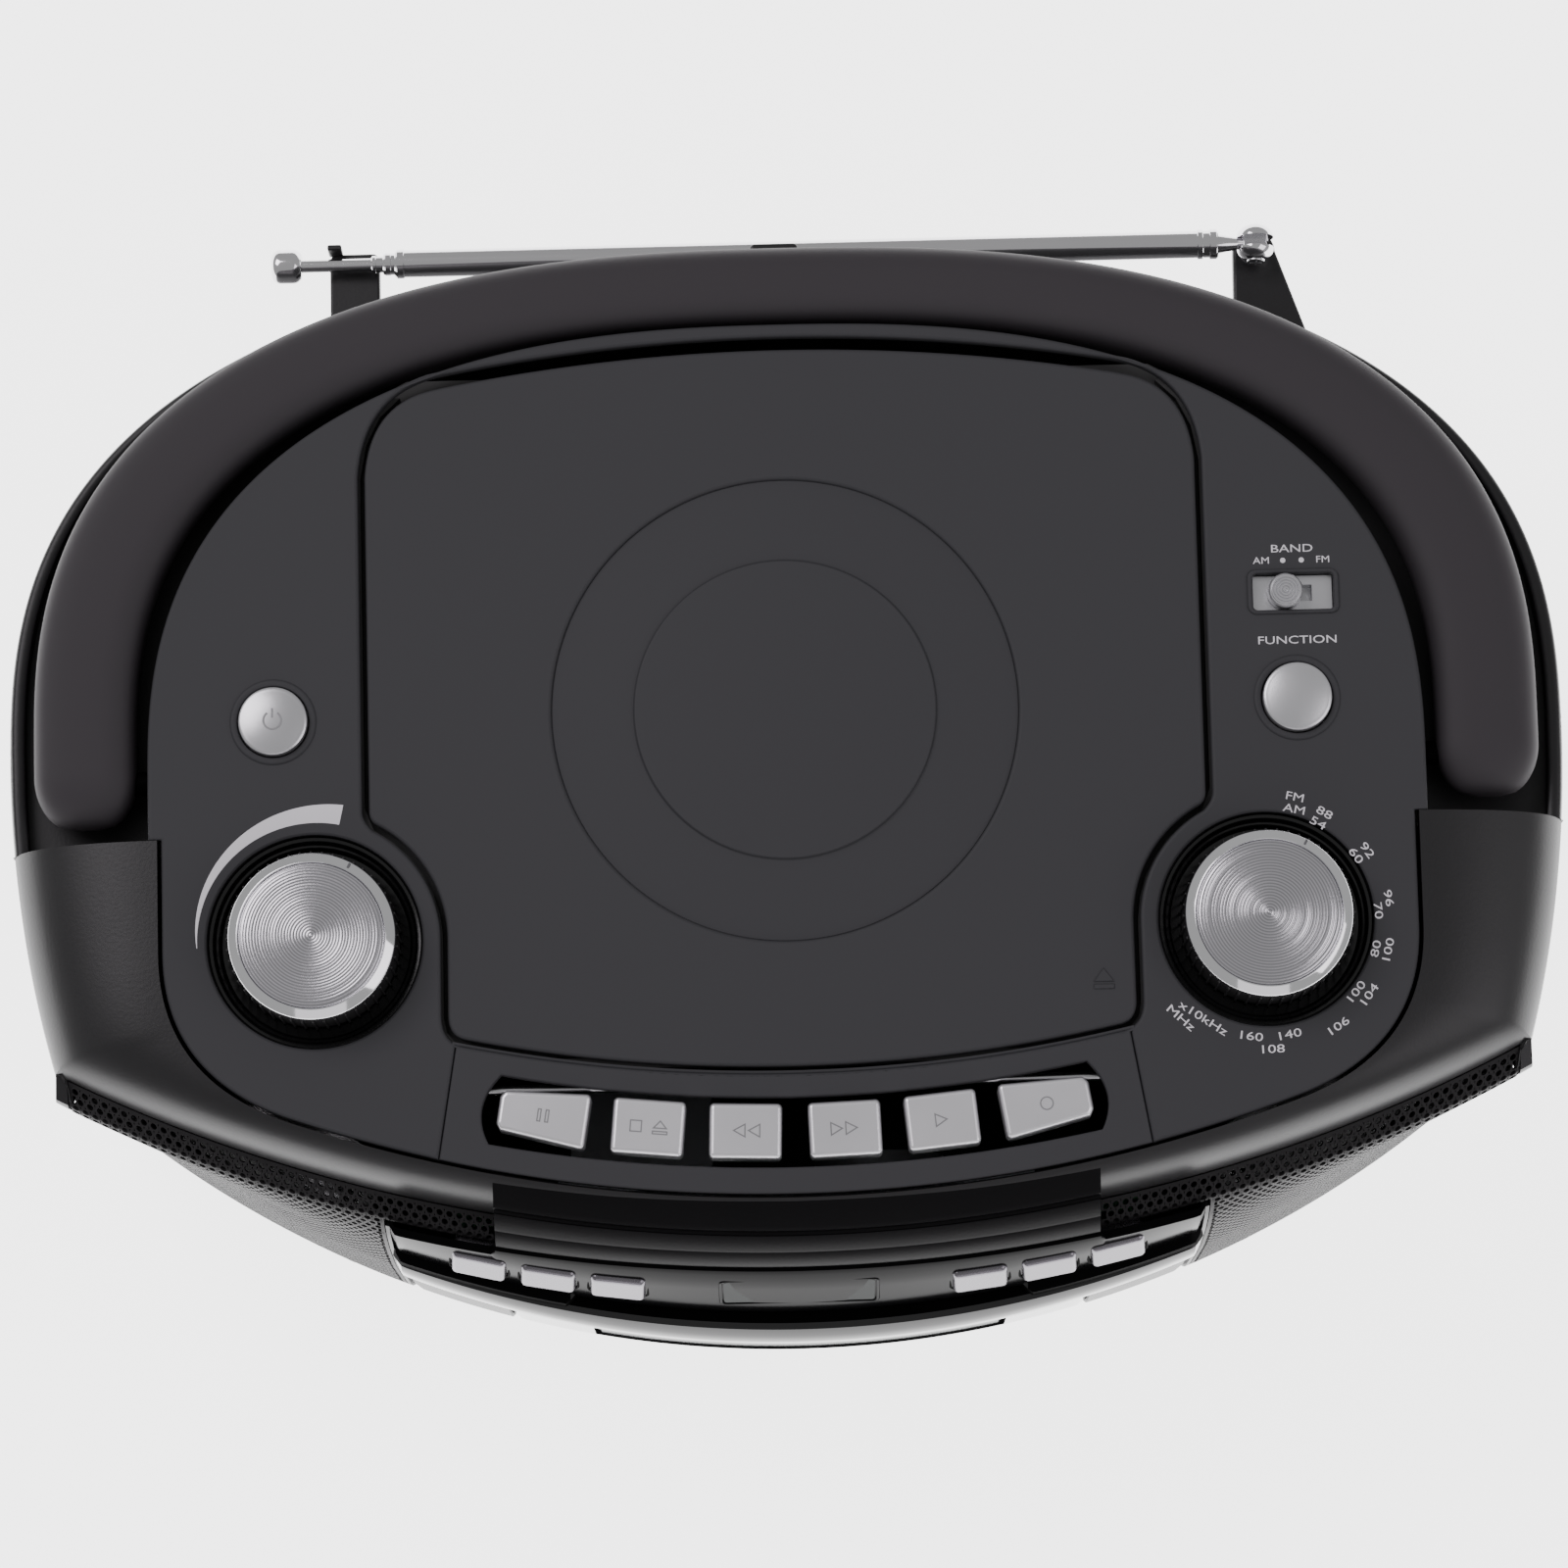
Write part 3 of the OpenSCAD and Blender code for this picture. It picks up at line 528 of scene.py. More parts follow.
def drawn_group() -> bpy.types.NodeTree:
    """Drawn or brushed metal: noise stretched along X gives fine lines."""
    if "drawn_lines" in bpy.data.node_groups:
        return bpy.data.node_groups["drawn_lines"]
    tree = new_group("drawn_lines", [("Vector", "NodeSocketVector", (0, 0, 0))],
                     [("Height", "NodeSocketFloat"), ("Mask", "NodeSocketFloat")])
    nodes, links = tree.nodes, tree.links
    stretch = nodes.new("ShaderNodeVectorMath")
    stretch.operation = "MULTIPLY"
    stretch.inputs[1].default_value = (0.03, 1, 1)
    links.new(nodes["in"].outputs["Vector"], stretch.inputs[0])
    noise = nodes.new("ShaderNodeTexNoise")
    noise.inputs["Scale"].default_value = 2500.0
    noise.inputs["Detail"].default_value = 2.0
    links.new(stretch.outputs[0], noise.inputs["Vector"])
    links.new(noise.outputs["Fac"], nodes["out"].inputs["Height"])
    links.new(noise.outputs["Fac"], nodes["out"].inputs["Mask"])
    return tree


@dataclass(frozen=True)
class Finish:
    """One material: its colour, gloss and fine pattern."""
    name: str
    color: tuple[float, float, float]
    roughness: float
    slot: str
    metallic: float = 0.0
    pattern: Pattern = Pattern.GRAIN
    size: float = 1500.0
    bump: float = 0.25
    depth: float = 0.00004
    spread: float = 0.12
    tone: float = 0.10
    coat: float = 0.0
    specular: float = 0.5
    centre: tuple[float, float, float] = (0.0, 0.0, 0.0)

    def material(self) -> bpy.types.Material:
        """Builds the finish once and returns its material."""
        if self.name in bpy.data.materials:
            return bpy.data.materials[self.name]
        mat = bpy.data.materials.new(self.name)
        mat.use_nodes = True
        tree = mat.node_tree
        shader = tree.nodes["Principled BSDF"]
        shader.inputs["Metallic"].default_value = self.metallic
        shader.inputs["Coat Weight"].default_value = self.coat
        shader.inputs["Coat Roughness"].default_value = 0.04
        shader.inputs["Specular IOR Level"].default_value = self.specular
        group = self.surface_group(tree)
        self.feed_color(tree, group, shader)
        self.feed_roughness(tree, group, shader)
        if self.bump:
            self.feed_normal(tree, group, shader)
        return mat

    def surface_group(self, tree: bpy.types.NodeTree) -> bpy.types.Node:
        """The fine pattern's node group, fed with the place on the piece."""
        coords = tree.nodes.new("ShaderNodeTexCoord")
        mapping = tree.nodes.new("ShaderNodeMapping")
        mapping.inputs["Location"].default_value = tuple(-c for c in self.centre)
        tree.links.new(coords.outputs["Object"], mapping.inputs["Vector"])
        makers = {Pattern.SPUN: spun_group, Pattern.DRAWN: drawn_group}
        group = tree.nodes.new("ShaderNodeGroup")
        group.node_tree = makers.get(self.pattern, grain_group)()
        tree.links.new(mapping.outputs[0], group.inputs["Vector"])
        if self.pattern is Pattern.GRAIN:
            group.inputs["Size"].default_value = self.size
        return group

    def feed_color(self, tree: bpy.types.NodeTree, group: bpy.types.Node, shader: bpy.types.Node) -> None:
        """Colour a little darker and a little lighter, mixed by the group's tone or mask. For turned metal
        the mask follows the rings, so the troughs are darker: painted groove shade.
        """
        mix = tree.nodes.new("ShaderNodeMix")
        mix.data_type = "RGBA"
        for key, scale in (("A", 1 - self.tone), ("B", 1 + self.tone)):
            socket = next(s for s in mix.inputs if s.name == key and s.type == "RGBA")
            socket.default_value = (*(min(1.0, c * scale) for c in self.color), 1)
        tone = "Tone" if "Tone" in group.outputs else "Mask"
        tree.links.new(group.outputs[tone], mix.inputs["Factor"])
        color = next(s for s in mix.outputs if s.type == "RGBA")
        tree.links.new(color, shader.inputs["Base Color"])

    def feed_roughness(self, tree: bpy.types.NodeTree, group: bpy.types.Node,
                       shader: bpy.types.Node) -> None:
        """Roughness that runs with the group's mask, spread to both sides of its value."""
        remap = tree.nodes.new("ShaderNodeMapRange")
        remap.inputs["From Min"].default_value = 0.2
        remap.inputs["From Max"].default_value = 0.8
        remap.inputs["To Min"].default_value = max(0.0, self.roughness * (1 - self.spread))
        remap.inputs["To Max"].default_value = min(1.0, self.roughness * (1 + self.spread))
        tree.links.new(group.outputs["Mask"], remap.inputs["Value"])
        tree.links.new(remap.outputs[0], shader.inputs["Roughness"])

    def feed_normal(self, tree: bpy.types.NodeTree, group: bpy.types.Node, shader: bpy.types.Node) -> None:
        """Bump from the group's height."""
        bump = tree.nodes.new("ShaderNodeBump")
        bump.inputs["Strength"].default_value = self.bump
        bump.inputs["Distance"].default_value = self.depth
        tree.links.new(group.outputs["Height"], bump.inputs["Height"])
        tree.links.new(bump.outputs[0], shader.inputs["Normal"])


KNOB_LEFT, KNOB_RIGHT = (tuple(centre_of(n) * MM) for n in ("volume_knob_cap", "tuning_knob_cap"))
CASE = Finish("case_black", (0.014, 0.0135, 0.0145), 0.42, "cabinet_black", bump=0.5,
              depth=0.00005, specular=0.35)
DECK = Finish("deck_black", (0.0055, 0.0051, 0.0058), 0.45, "deck_black", bump=0.5,
              depth=0.00005, specular=0.12)
# A darker, less reflective copy of the case black for the brow, which faces forward and down: painted
# shade.
BROW_SHADED = Finish("brow_painted_shade", (0.005, 0.0048, 0.0053), 0.42, "cabinet_black", bump=0.5,
              depth=0.00005, specular=0.08)
HANDLE = Finish("handle_black", (0.006, 0.0056, 0.0061), 0.33, "handle_black", bump=0.3, specular=0.2)
TRAY = Finish("tray_black", (0.008, 0.008, 0.009), 0.5, "tray_black", bump=0.3, specular=0.3)
STEEL_MESH = Finish("grille_paint", (0.022, 0.021, 0.022), 0.5, "grille_steel", bump=0.3, specular=0.1)
GLOSS = Finish("piano_black", (0.003, 0.003, 0.0035), 0.07, "gloss_black", bump=0.0, coat=0.35)
LENS = Finish("lens_black", (0.002, 0.002, 0.0022), 0.16, "gloss_black", bump=0.0, specular=0.03)
WELL = Finish("well_black", (0.004, 0.004, 0.0042), 0.14, "gloss_black", bump=0.0, specular=0.5)
SMOKE = Finish("smoked_window", (0.02, 0.023, 0.0225), 0.2, "window_smoke", bump=0.0, specular=0.03)
BOARD = Finish("circuit_board", (0.02, 0.11, 0.04), 0.4, "board_green", size=700.0, tone=0.4)
PIN = Finish("ground_pin", (0.55, 0.55, 0.56), 0.25, "hinge_steel", 1.0, Pattern.DRAWN, bump=0.1)
RUBBER = Finish("foot_rubber", (0.018, 0.018, 0.018), 0.8, "foot_rubber", size=2600.0, bump=0.6)
BRIGHT = Finish("bright_ring", (0.86, 0.86, 0.88), 0.10, "knob_chrome", 1.0, bump=0.0, spread=0.3)
# The spun finishes' tone darkens the ring troughs in colour: painted groove shade.
SPUN_LEFT = Finish("spun_left", (0.52, 0.51, 0.54), 0.22, "spun_aluminium", 1.0, Pattern.SPUN,
                   bump=0.6, depth=0.00008, tone=0.3, centre=KNOB_LEFT)
SPUN_RIGHT = replace(SPUN_LEFT, name="spun_right", centre=KNOB_RIGHT)
CONTROL = Finish("control_grey", (0.16, 0.16, 0.17), 0.5, "control_grey")
CREAM = Finish("cream_plastic", (0.66, 0.61, 0.48), 0.45, "cream_plastic")
SILVER = Finish("satin_silver", (0.62, 0.62, 0.64), 0.33, "silver_button", 0.85, size=3500.0, bump=0.1)
KEY = Finish("key_silver", (0.80, 0.79, 0.82), 0.36, "silver_key", 0.85, size=3500.0, bump=0.12)
CHROME = Finish("antenna_chrome", (0.80, 0.80, 0.82), 0.09, "antenna_chrome", 1.0, bump=0.0)
PAPER = Finish("cone_paper", (0.02, 0.02, 0.02), 0.85, "cone_paper", size=900.0, bump=0.7)
HUB = Finish("hub_plastic", (0.55, 0.55, 0.56), 0.4, "hub_plastic")
SOCKET = Finish("inlet_black", (0.01, 0.01, 0.01), 0.35, "inlet_black")
INK = Finish("print_silver", (0.80, 0.78, 0.82), 0.5, "control_grey", bump=0.0)
# Near-black with almost no reflection: painted shade, worn by the groove under the pod's face and by the
# frames in the gaps round the front buttons; the pivot pins wear it too.
GAP_SHADE_BLACK = Finish("painted_gap_shade_black", (0.001, 0.001, 0.001), 0.6, "gloss_black", bump=0.0, specular=0.02)
# A copy of the satin silver at a third of its brightness for the forward-facing front buttons: painted
# shade.
SILVER_FRONT_SHADED = Finish("silver_front_painted_shade", (0.2, 0.19, 0.21), 0.3, "silver_button", 0.85, size=3500.0, bump=0.1)
# Darker silver for symbols; on the tape keys it paints the shade along the edges of embossed symbols, and
# the power sign wears it too.
SYMBOL_AND_EDGE_SHADE = Finish("symbol_and_edge_shade_silver", (0.30, 0.30, 0.31), 0.42, "control_grey", 0.6, bump=0.0)
# Dark grey for the knobs' marks on the bevel, a painted reflection, and for the screw's cross, painted
# shade.
SHADE = Finish("painted_shade_and_reflection_grey", (0.10, 0.10, 0.105), 0.5, "control_grey", bump=0.0)


class Kit:
    """Shared ways to put a piece on its body, dress it and report it."""

    def put(self, obj: bpy.types.Object, body: str, finish: Finish, *nodes: str) -> bpy.types.Object:
        """Rides a piece on a body, gives it its finish and hides the nodes it stands for.

        Args:
            obj: the piece.
            body: the CAD body it moves with.
            finish: its finish.
            nodes: the CAD nodes it replaces.

        Returns:
            The piece.
        """
        self.paint(obj, finish)
        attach(obj, body)
        if nodes:
            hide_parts(*nodes)
        LOG.info("%s rides on %s, %d faces", obj.name, body, len(obj.data.polygons))
        return obj

    def dress(self, finish: Finish, *nodes: str) -> None:
        """Gives CAD nodes that stay in view a finish."""
        for node in nodes:
            self.paint(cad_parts[node], finish)
            LOG.info("%s wears %s", node, finish.name)

    def paint(self, obj: bpy.types.Object, finish: Finish) -> None:
        """Gives an object one material."""
        obj.data.materials.clear()
        obj.data.materials.append(finish.material())


# ---------------------------------------------------------------- cabinet
@dataclass
class CabinetForm:
    """The cabinet's outer surface.

    Each level holds a height, the sides' inset there, and the front arc's apex and radius.
    """
    half_width: float = 161.6
    rear_depth: float = 103.5
    wide_y: float = 7.6
    side_depth: float = 200.0
    corner: float = 0.946
    levels: tuple = ((4, 10, -103, 240), (12, 5, -107, 235), (40, 1.5, -111.5, 228),
                     (80, 0, -112.5, 225), (100, 0, -110, 245), (112, 0, -106, 290),
                     (118, 0.6, -102.8, 325), (120, 0.8, -101.5, 330), (122, 1.1, -96.5, 330),
                     (125, 1.6, -95.9, 328), (130, 6.5, -94.6, 322), (134, 12, -92.1, 314),
                     (138, 28, -84, 306))

    def at(self, z: Array) -> tuple[Array, Array, Array]:
        """Side inset, front apex and front radius at each height.

        They run straight between the levels above z = 112, and below it they are averaged with
        their neighbours under a raised cosine.
        """
        table = np.array(self.levels, float)
        fine = np.linspace(table[0, 0], table[-1, 0], 671)
        window = np.hanning(63)[1:-1]
        window /= window.sum()
        reach = len(window) // 2
        out = []
        for column in (1, 2, 3):
            values = np.interp(fine, table[:, 0], table[:, column])
            soft = np.convolve(np.pad(values, reach, mode="reflect", reflect_type="odd"), window, "valid")
            blend = np.clip((112 - fine) / 8, 0, 1)
            values = values * (1 - blend) + soft[:len(fine)] * blend
            out.append(np.interp(z, fine, values))
        return tuple(out)

    def side(self, y: Array, z: Array) -> Array:
        """Half width at (y, z): (half - inset) sqrt(1 - ((wide_y - y) / side_depth)^2)."""
        inset = self.at(z)[0]
        return (self.half_width - inset) * np.sqrt(1 - ((self.wide_y - y) / self.side_depth) ** 2)

    def corner_x(self, z: Array) -> Array:
        """Half width at which the front arc meets the side."""
        return self.corner * (self.half_width - self.at(z)[0])

    def front(self, x: Array, z: Array) -> Array:
        """Points of the front arc at (x, z)."""
        _, apex, radius = self.at(z)
        return np.stack([x + 0 * z, arc_y(x, apex, radius), z + 0 * x], -1)

    def flank(self, t: Array, z: Array, end_y: float) -> Array:
        """Points of the right side from the front corner (t = 0) back to end_y (t = 1)."""
        xc = self.corner_x(z)
        _, apex, radius = self.at(z)
        yc = arc_y(xc, apex, radius)
        y = yc + (end_y - yc) * t
        return np.stack([self.side(y, z), y, z + 0 * t], -1)

    def ring(self, z: float, count: int = 160) -> Array:
        """Closed outline at one height, counter-clockwise from the front's middle."""
        zs = np.array(z, float)
        xc = float(self.corner_x(zs))
        front = self.front(np.linspace(0, xc, 60), zs)[:, :2]
        flank = self.flank(np.linspace(0, 1, 30), zs, self.wide_y)[1:, :2]
        inset = float(self.at(zs)[0])
        rear = superellipse(self.half_width - inset, self.rear_depth - inset, self.wide_y,
                            np.linspace(0, math.pi / 2, count // 2))[1:]
        return both_sides(np.concatenate([front, flank, rear]))


def deck_half(grow: float = 0.0) -> Array:
    """Right half of the deck's outline: front arc, round corner, step at the handle, rear curve."""
    front_y, front_radius = DECK_FRONT
    rear_half, rear_depth, rear_y = DECK_REAR
    x = np.linspace(0, 104, DECK_FRONT_COLUMNS)
    front = np.stack([x, arc_y(x, front_y - grow, front_radius)], -1)
    side, step_y = DECK_SIDE + grow, Trench.front_y - grow
    corner = bezier(front[-1], (side, -62 - grow), (side, -38), DECK_CORNER_STEPS)
    step = np.array([[side, step_y], [rear_half + grow, step_y], [rear_half + grow, rear_y]])
    rear = superellipse(rear_half + grow, rear_depth + grow, rear_y, np.linspace(0, math.pi / 2, 90)[1:])
    return np.concatenate([front, corner, step, rear])


def lid_half(grow: float = 0.0, rear: float = 1.9) -> Array:
    """Right half of the lid's outline.

    A front arc, the neck beside the knob, the side, a round rear corner and the rear arc.
    """
    x = np.linspace(0, 66, 26)
    front = np.stack([x, arc_y(x, -63.9 - grow, 320 + grow)], -1)
    shoulder = bezier(front[-1], (69.9 + grow, -56.4 - grow), (69.9 + grow, -52), 8)
    turn = np.radians(np.linspace(178, 118, 26))
    neck = np.stack([96.8 + (27 - grow) * np.cos(turn), -36.1 + (27 - grow) * np.sin(turn)], -1)
    tip = bezier(neck[-1], (85.4 + grow, -11.4), (85.4 + grow, -9.6), 6)
    side = np.array([[85.4 + grow, y] for y in (10.0, 30.0, 60.0)])
    corner = bezier(side[-1], (84.2 + grow, 75 + grow), (72, 77.9 + rear * grow), 16)
    xr = np.linspace(72, 0, 26)[1:]
    back = np.stack([xr, 84.8 + rear * grow - arc_y(xr, 0, 383)], -1)
    return np.concatenate([front, shoulder, neck, tip, side, corner, back])


def key_panel(grow: float = 0.0) -> Array:
    """Outline of the panel around the tape keys: its front arc, then its back arc."""
    front_y, front_radius = DECK_FRONT
    back_half, back_y, back_radius = PANEL_BACK
    x = np.linspace(-PANEL_FRONT_HALF - grow, PANEL_FRONT_HALF + grow, PANEL_COLUMNS)
    front = np.stack([x, arc_y(x, front_y - grow, front_radius)], -1)
    x = np.linspace(back_half + grow, -back_half - grow, PANEL_COLUMNS)
    return np.concatenate([front, np.stack([x, arc_y(x, back_y + grow, back_radius)], -1)])


@dataclass
class Trench:
    """Channel that the handle folds into."""
    front_y: float = -14.5
    floor_z: float = 120.0
    rim_z: float = 125.0
    outer: tuple = (157.3, 101.0)
    inner: tuple = (131.0, 92.6)
    inner_y: float = -2.0
    edge: float = 0.9

    def path(self, form: CabinetForm, kind: str, z: float, shift: float = 0.0) -> Array:
        """One row of the channel from its right front end, round the back, to its left front end.

        Args:
            form: the cabinet.
            kind: outer, wall, inner: the cabinet's side, the channel's outer or its inner wall.
            z: the row's height.
            shift: how far the row moves inwards.

        Returns:
            Points along the row.
        """
        sides = np.linspace(self.front_y, -2, 8)
        angle = np.linspace(0, math.pi, 161)
        if kind == "outer":
            inset = float(form.at(np.array(z))[0]) + shift
            a, b, y0 = form.half_width - inset, form.rear_depth - inset, form.wide_y
        elif kind == "wall":
            a, b, y0 = self.outer[0] - shift, self.outer[1] - shift, form.wide_y
        else:
            a, b, y0 = self.inner[0] - shift, self.inner[1] - shift, self.inner_y
        rear = superellipse(a, b, y0, angle)
        bow = np.sqrt(1 - ((form.wide_y - sides) / form.side_depth) ** 2)
        right = np.stack([np.full(len(sides), a) if kind == "inner" else a * bow, sides], -1)
        rows = np.concatenate([right, rear, (right * [-1, 1])[::-1]])
        return np.column_stack([rows, np.full(len(rows), z)])

    def build(self, form: CabinetForm) -> bpy.types.Object:
        """The rim, the channel's two walls and its floor as one sheet with rounded edges."""
        e, rim, floor = self.edge, self.rim_z, self.floor_z
        rows = [self.path(form, "outer", rim - e)]
        for a in np.radians((30, 60, 90)):
            rows.append(self.path(form, "outer", rim - e + e * math.sin(a), e * (1 - math.cos(a))))
        rows.append(self.path(form, "wall", rim, -0.4))
        rows.append(self.path(form, "wall", rim - 0.3, 0.0))
        rows.append(self.path(form, "wall", floor, 0.0))
        rows.append(self.path(form, "inner", floor))
        rows.append(self.path(form, "inner", 134.0))
        points = np.stack(rows)
        return piece("handle_channel", points, grid_quads(len(rows), points.shape[1])[:, ::-1], 40,
                     outward=False)


@dataclass
class Cabinet(Kit):
    """The moulded case: front, brow, sides, rear, channel, underside and feet."""
    form: CabinetForm
    trench: Trench
    wall: float = 2.2
    seam_y: float = 6.5
    pod_half: float = 83.6
    grille_in: float = 84.4
    grille_out: float = 149.0
    flange_in: float = 61.8
    brow_half: float = 61.5
    door_foot: float = 16.0
    grille_foot: float = 24.0
    flange_z: float = 117.0
    shoulder_z: float = 122.0

    def columns(self) -> Array:
        """Places of the columns across the front: they fall on the edges of the grille and the pod."""
        return np.concatenate([np.linspace(0, self.flange_in, 26),
                               np.linspace(self.flange_in, self.pod_half, 10)[1:], [self.grille_in],
                               np.linspace(self.grille_in, self.grille_out, 27)[1:]])

    def band(self, z: Array, end_y: float) -> Array:
        """Grid of the right half: rows are heights, columns run from the middle round to the side.

        Args:
            z: the rows' heights.
            end_y: where the side ends.

        Returns:
            Points, rows by columns.
        """
        inner, flank = self.columns(), np.linspace(0, 1, 26)
        zz = z[:, None]
        front = self.form.front(np.broadcast_to(inner, (len(z), len(inner))), zz + 0 * inner)
        xc = self.form.corner_x(zz)
        nib = self.grille_out + (xc - self.grille_out) * np.linspace(0, 1, 6)[1:-1]
        nib = self.form.front(nib, zz + 0 * nib)
        side = self.form.flank(flank + 0 * zz, zz + 0 * flank, end_y)
        return np.concatenate([front, nib, side], 1)

    def mirrored(self, grid: Array) -> Array:
        """Puts a right half and its mirror image side by side, left to right."""
        return np.concatenate([(grid * [-1, 1, 1])[:, :0:-1], grid], 1)

    def lower_front(self) -> bpy.types.Object:
        """Front and sides up to the shoulder, with holes for the grilles, the pod and the door."""
        z = np.concatenate([np.linspace(4, self.door_foot, 7),
                            np.linspace(self.door_foot, self.grille_foot, 4)[1:],
                            np.linspace(self.grille_foot, 112, 30)[1:],
                            [114, self.flange_z, 119, 120, 121, self.shoulder_z]])
        grid = self.mirrored(self.band(z, self.seam_y))
        faces = grid_quads(*grid.shape[:2])
        mid = grid.reshape(-1, 3)[faces].mean(1)
        x, height = np.abs(mid[:, 0]), mid[:, 2]
        hole = (x < self.pod_half) & (height > self.door_foot)
        hole |= (x > self.grille_in) & (x < self.grille_out) & (height > self.grille_foot)
        hole |= (x > self.flange_in) & (x < self.grille_out) & (height > self.flange_z)
        on_front = mid[:, 1] < -40
        return piece("case_front", grid, faces[~(hole & on_front)], 40, outward=False)

    def bend(self, foot: Array, edge: Array) -> Array:
        """Control points of the shoulder's curve: just in from the foot and just under the edge."""
        control = foot + 0.12 * (edge - foot)
        control[:, 2] = edge[:, 2] - 1.6
        return control

    def smoothed(self, row: Array) -> Array:
        """Averages each point of a row with its neighbours under a raised cosine."""
        window = np.hanning(21)[1:-1]
        window /= window.sum()
        reach = len(window) // 2
        padded = np.pad(row, ((reach, reach), (0, 0)), mode="reflect", reflect_type="odd")
        return np.stack([np.convolve(padded[:, k], window, "valid") for k in range(3)], -1)

    def round_over(self, foot: Array, control: Array, edge: Array, t: Array) -> Array:
        """Curve (1-t)^2 foot + 2t(1-t) control + t^2 edge: steep at the foot, almost level at the deck."""
        return (1 - t) ** 2 * foot + 2 * t * (1 - t) * control + t * t * edge

    def shoulder(self) -> bpy.types.Object:
        """From the top of the grilles over the round shoulder to the deck's edge, and down inside it."""
        foot = self.band(np.array([self.shoulder_z]), self.trench.front_y)[0]
        edge = self.deck_edge(foot)
        control = self.smoothed(self.bend(foot, edge))
        skin = self.round_over(foot, control, edge, np.linspace(0, 1, 19)[:, None, None])
        grid = self.mirrored(np.concatenate([skin, (edge - [0, 0, 3.0])[None]]))
        return piece("case_shoulder", grid, grid_quads(*grid.shape[:2]), 32, outward=False)

    def deck_edge(self, foot: Array) -> Array:
        """Points of the deck's edge at the foot's bearings about the middle of the channel's front."""
        half = deck_half(0.8)[:DECK_FRONT_COLUMNS + DECK_CORNER_STEPS]
        half = np.concatenate([half, [[half[-1, 0], self.trench.front_y]]])
        have, want = (np.arctan2(p[:, 1] - self.trench.front_y, p[:, 0]) for p in (half, foot))
        flat = np.stack([np.interp(want, have, half[:, k]) for k in (0, 1)], -1)
        return to_deck(np.column_stack([flat, np.zeros(len(flat))]))

    def brow(self) -> bpy.types.Object:
        """The block above the pod, between the grilles: a profile of apex and height swept across.

        Each profile point is carried along a front arc whose radius shrinks with the height.
        """
        profile = np.array([[-90.2, 132.0], [-90.2, 134.7], [-90.5, 135.0], [-96.2, 133.2],
                            [-96.9, 132.7], [-97.1, 131.6], [-97.7, 131.5], [-98.0, 131.9],
                            [-98.6, 131.5], [-100.6, 129.2], [-100.9, 128.5], [-101.2, 128.3],
                            [-102.2, 127.2], [-103.2, 125.4], [-103.4, 124.6], [-102.6, 124.2],
                            [-99.0, 124.0], [-92.0, 124.0]])
        x = np.linspace(-self.brow_half, self.brow_half, 81)
        apex, height = profile[:, :1], profile[:, 1:]
        radius = DECK_FRONT[1] + (135 - height) * 3
        grid = np.stack([x + 0 * apex, arc_y(x, apex, radius), height + 0 * x], -1)
        rows, cols = grid.shape[:2]
        faces = grid_quads(rows, cols).tolist()
        faces += [[r * cols for r in range(rows)], [r * cols + cols - 1 for r in range(rows)][::-1]]
        faces += [[k, k + 1, (rows - 1) * cols + k + 1, (rows - 1) * cols + k] for k in range(cols - 1)]
        return piece("case_brow", grid, faces, 30)

    def rear(self) -> bpy.types.Object:
        """The rear half below the channel's rim."""
        top = self.trench.rim_z - self.trench.edge
        z = np.concatenate([np.linspace(4, 12, 6), np.linspace(12, top, 30)[1:]])
        inset = self.form.at(z)[0][:, None]
        angle = np.linspace(0, math.pi, 201)
        c, s = np.cos(angle), np.sin(angle)
        x = (self.form.half_width - inset) * np.sign(c) * np.abs(c) ** 0.8
        y = (self.form.rear_depth - inset) * np.abs(s) ** 0.8 + self.form.wide_y
        grid = np.stack([x, y, z[:, None] + 0 * x], -1)
        faces = grid_quads(*grid.shape[:2])
        x, y, height = grid.reshape(-1, 3)[faces].mean(1).T
        low, high = box_mm("battery_door")
        hole = (np.abs(x) < high[0] - 1) & (height > low[2]) & (height < high[2])
        low, high = box_mm("ac_inlet")
        hole |= (x > low[0]) & (x < high[0]) & (height > low[2]) & (height < high[2])
        at_back = y > 60
        return piece("case_rear_half", grid, faces[~(hole & at_back)], 40, outward=False)

    def side_rims(self) -> bpy.types.Object:
        """The sides beside the handle's front ends, from the shoulder's foot to the channel's rim."""
        y = np.linspace(self.trench.front_y, self.seam_y, 9)
        z = np.linspace(self.shoulder_z, self.trench.rim_z - self.trench.edge, 4)[:, None]
        right = np.stack([self.form.side(y + 0 * z, z + 0 * y), y + 0 * z, z + 0 * y], -1)
        return self.pair("case_side_rims", right, grid_quads(*right.shape[:2]))

    def pair(self, name: str, right: Array, quads: Array) -> bpy.types.Object:
        """A patch of the right side and its mirror image as one sheet."""
        left = right[:, ::-1] * [-1, 1, 1]
        points = np.concatenate([right.reshape(-1, 3), left.reshape(-1, 3)])
        faces = np.concatenate([quads, quads + right.shape[0] * right.shape[1]])
        return piece(name, points, faces, 40, outward=False)

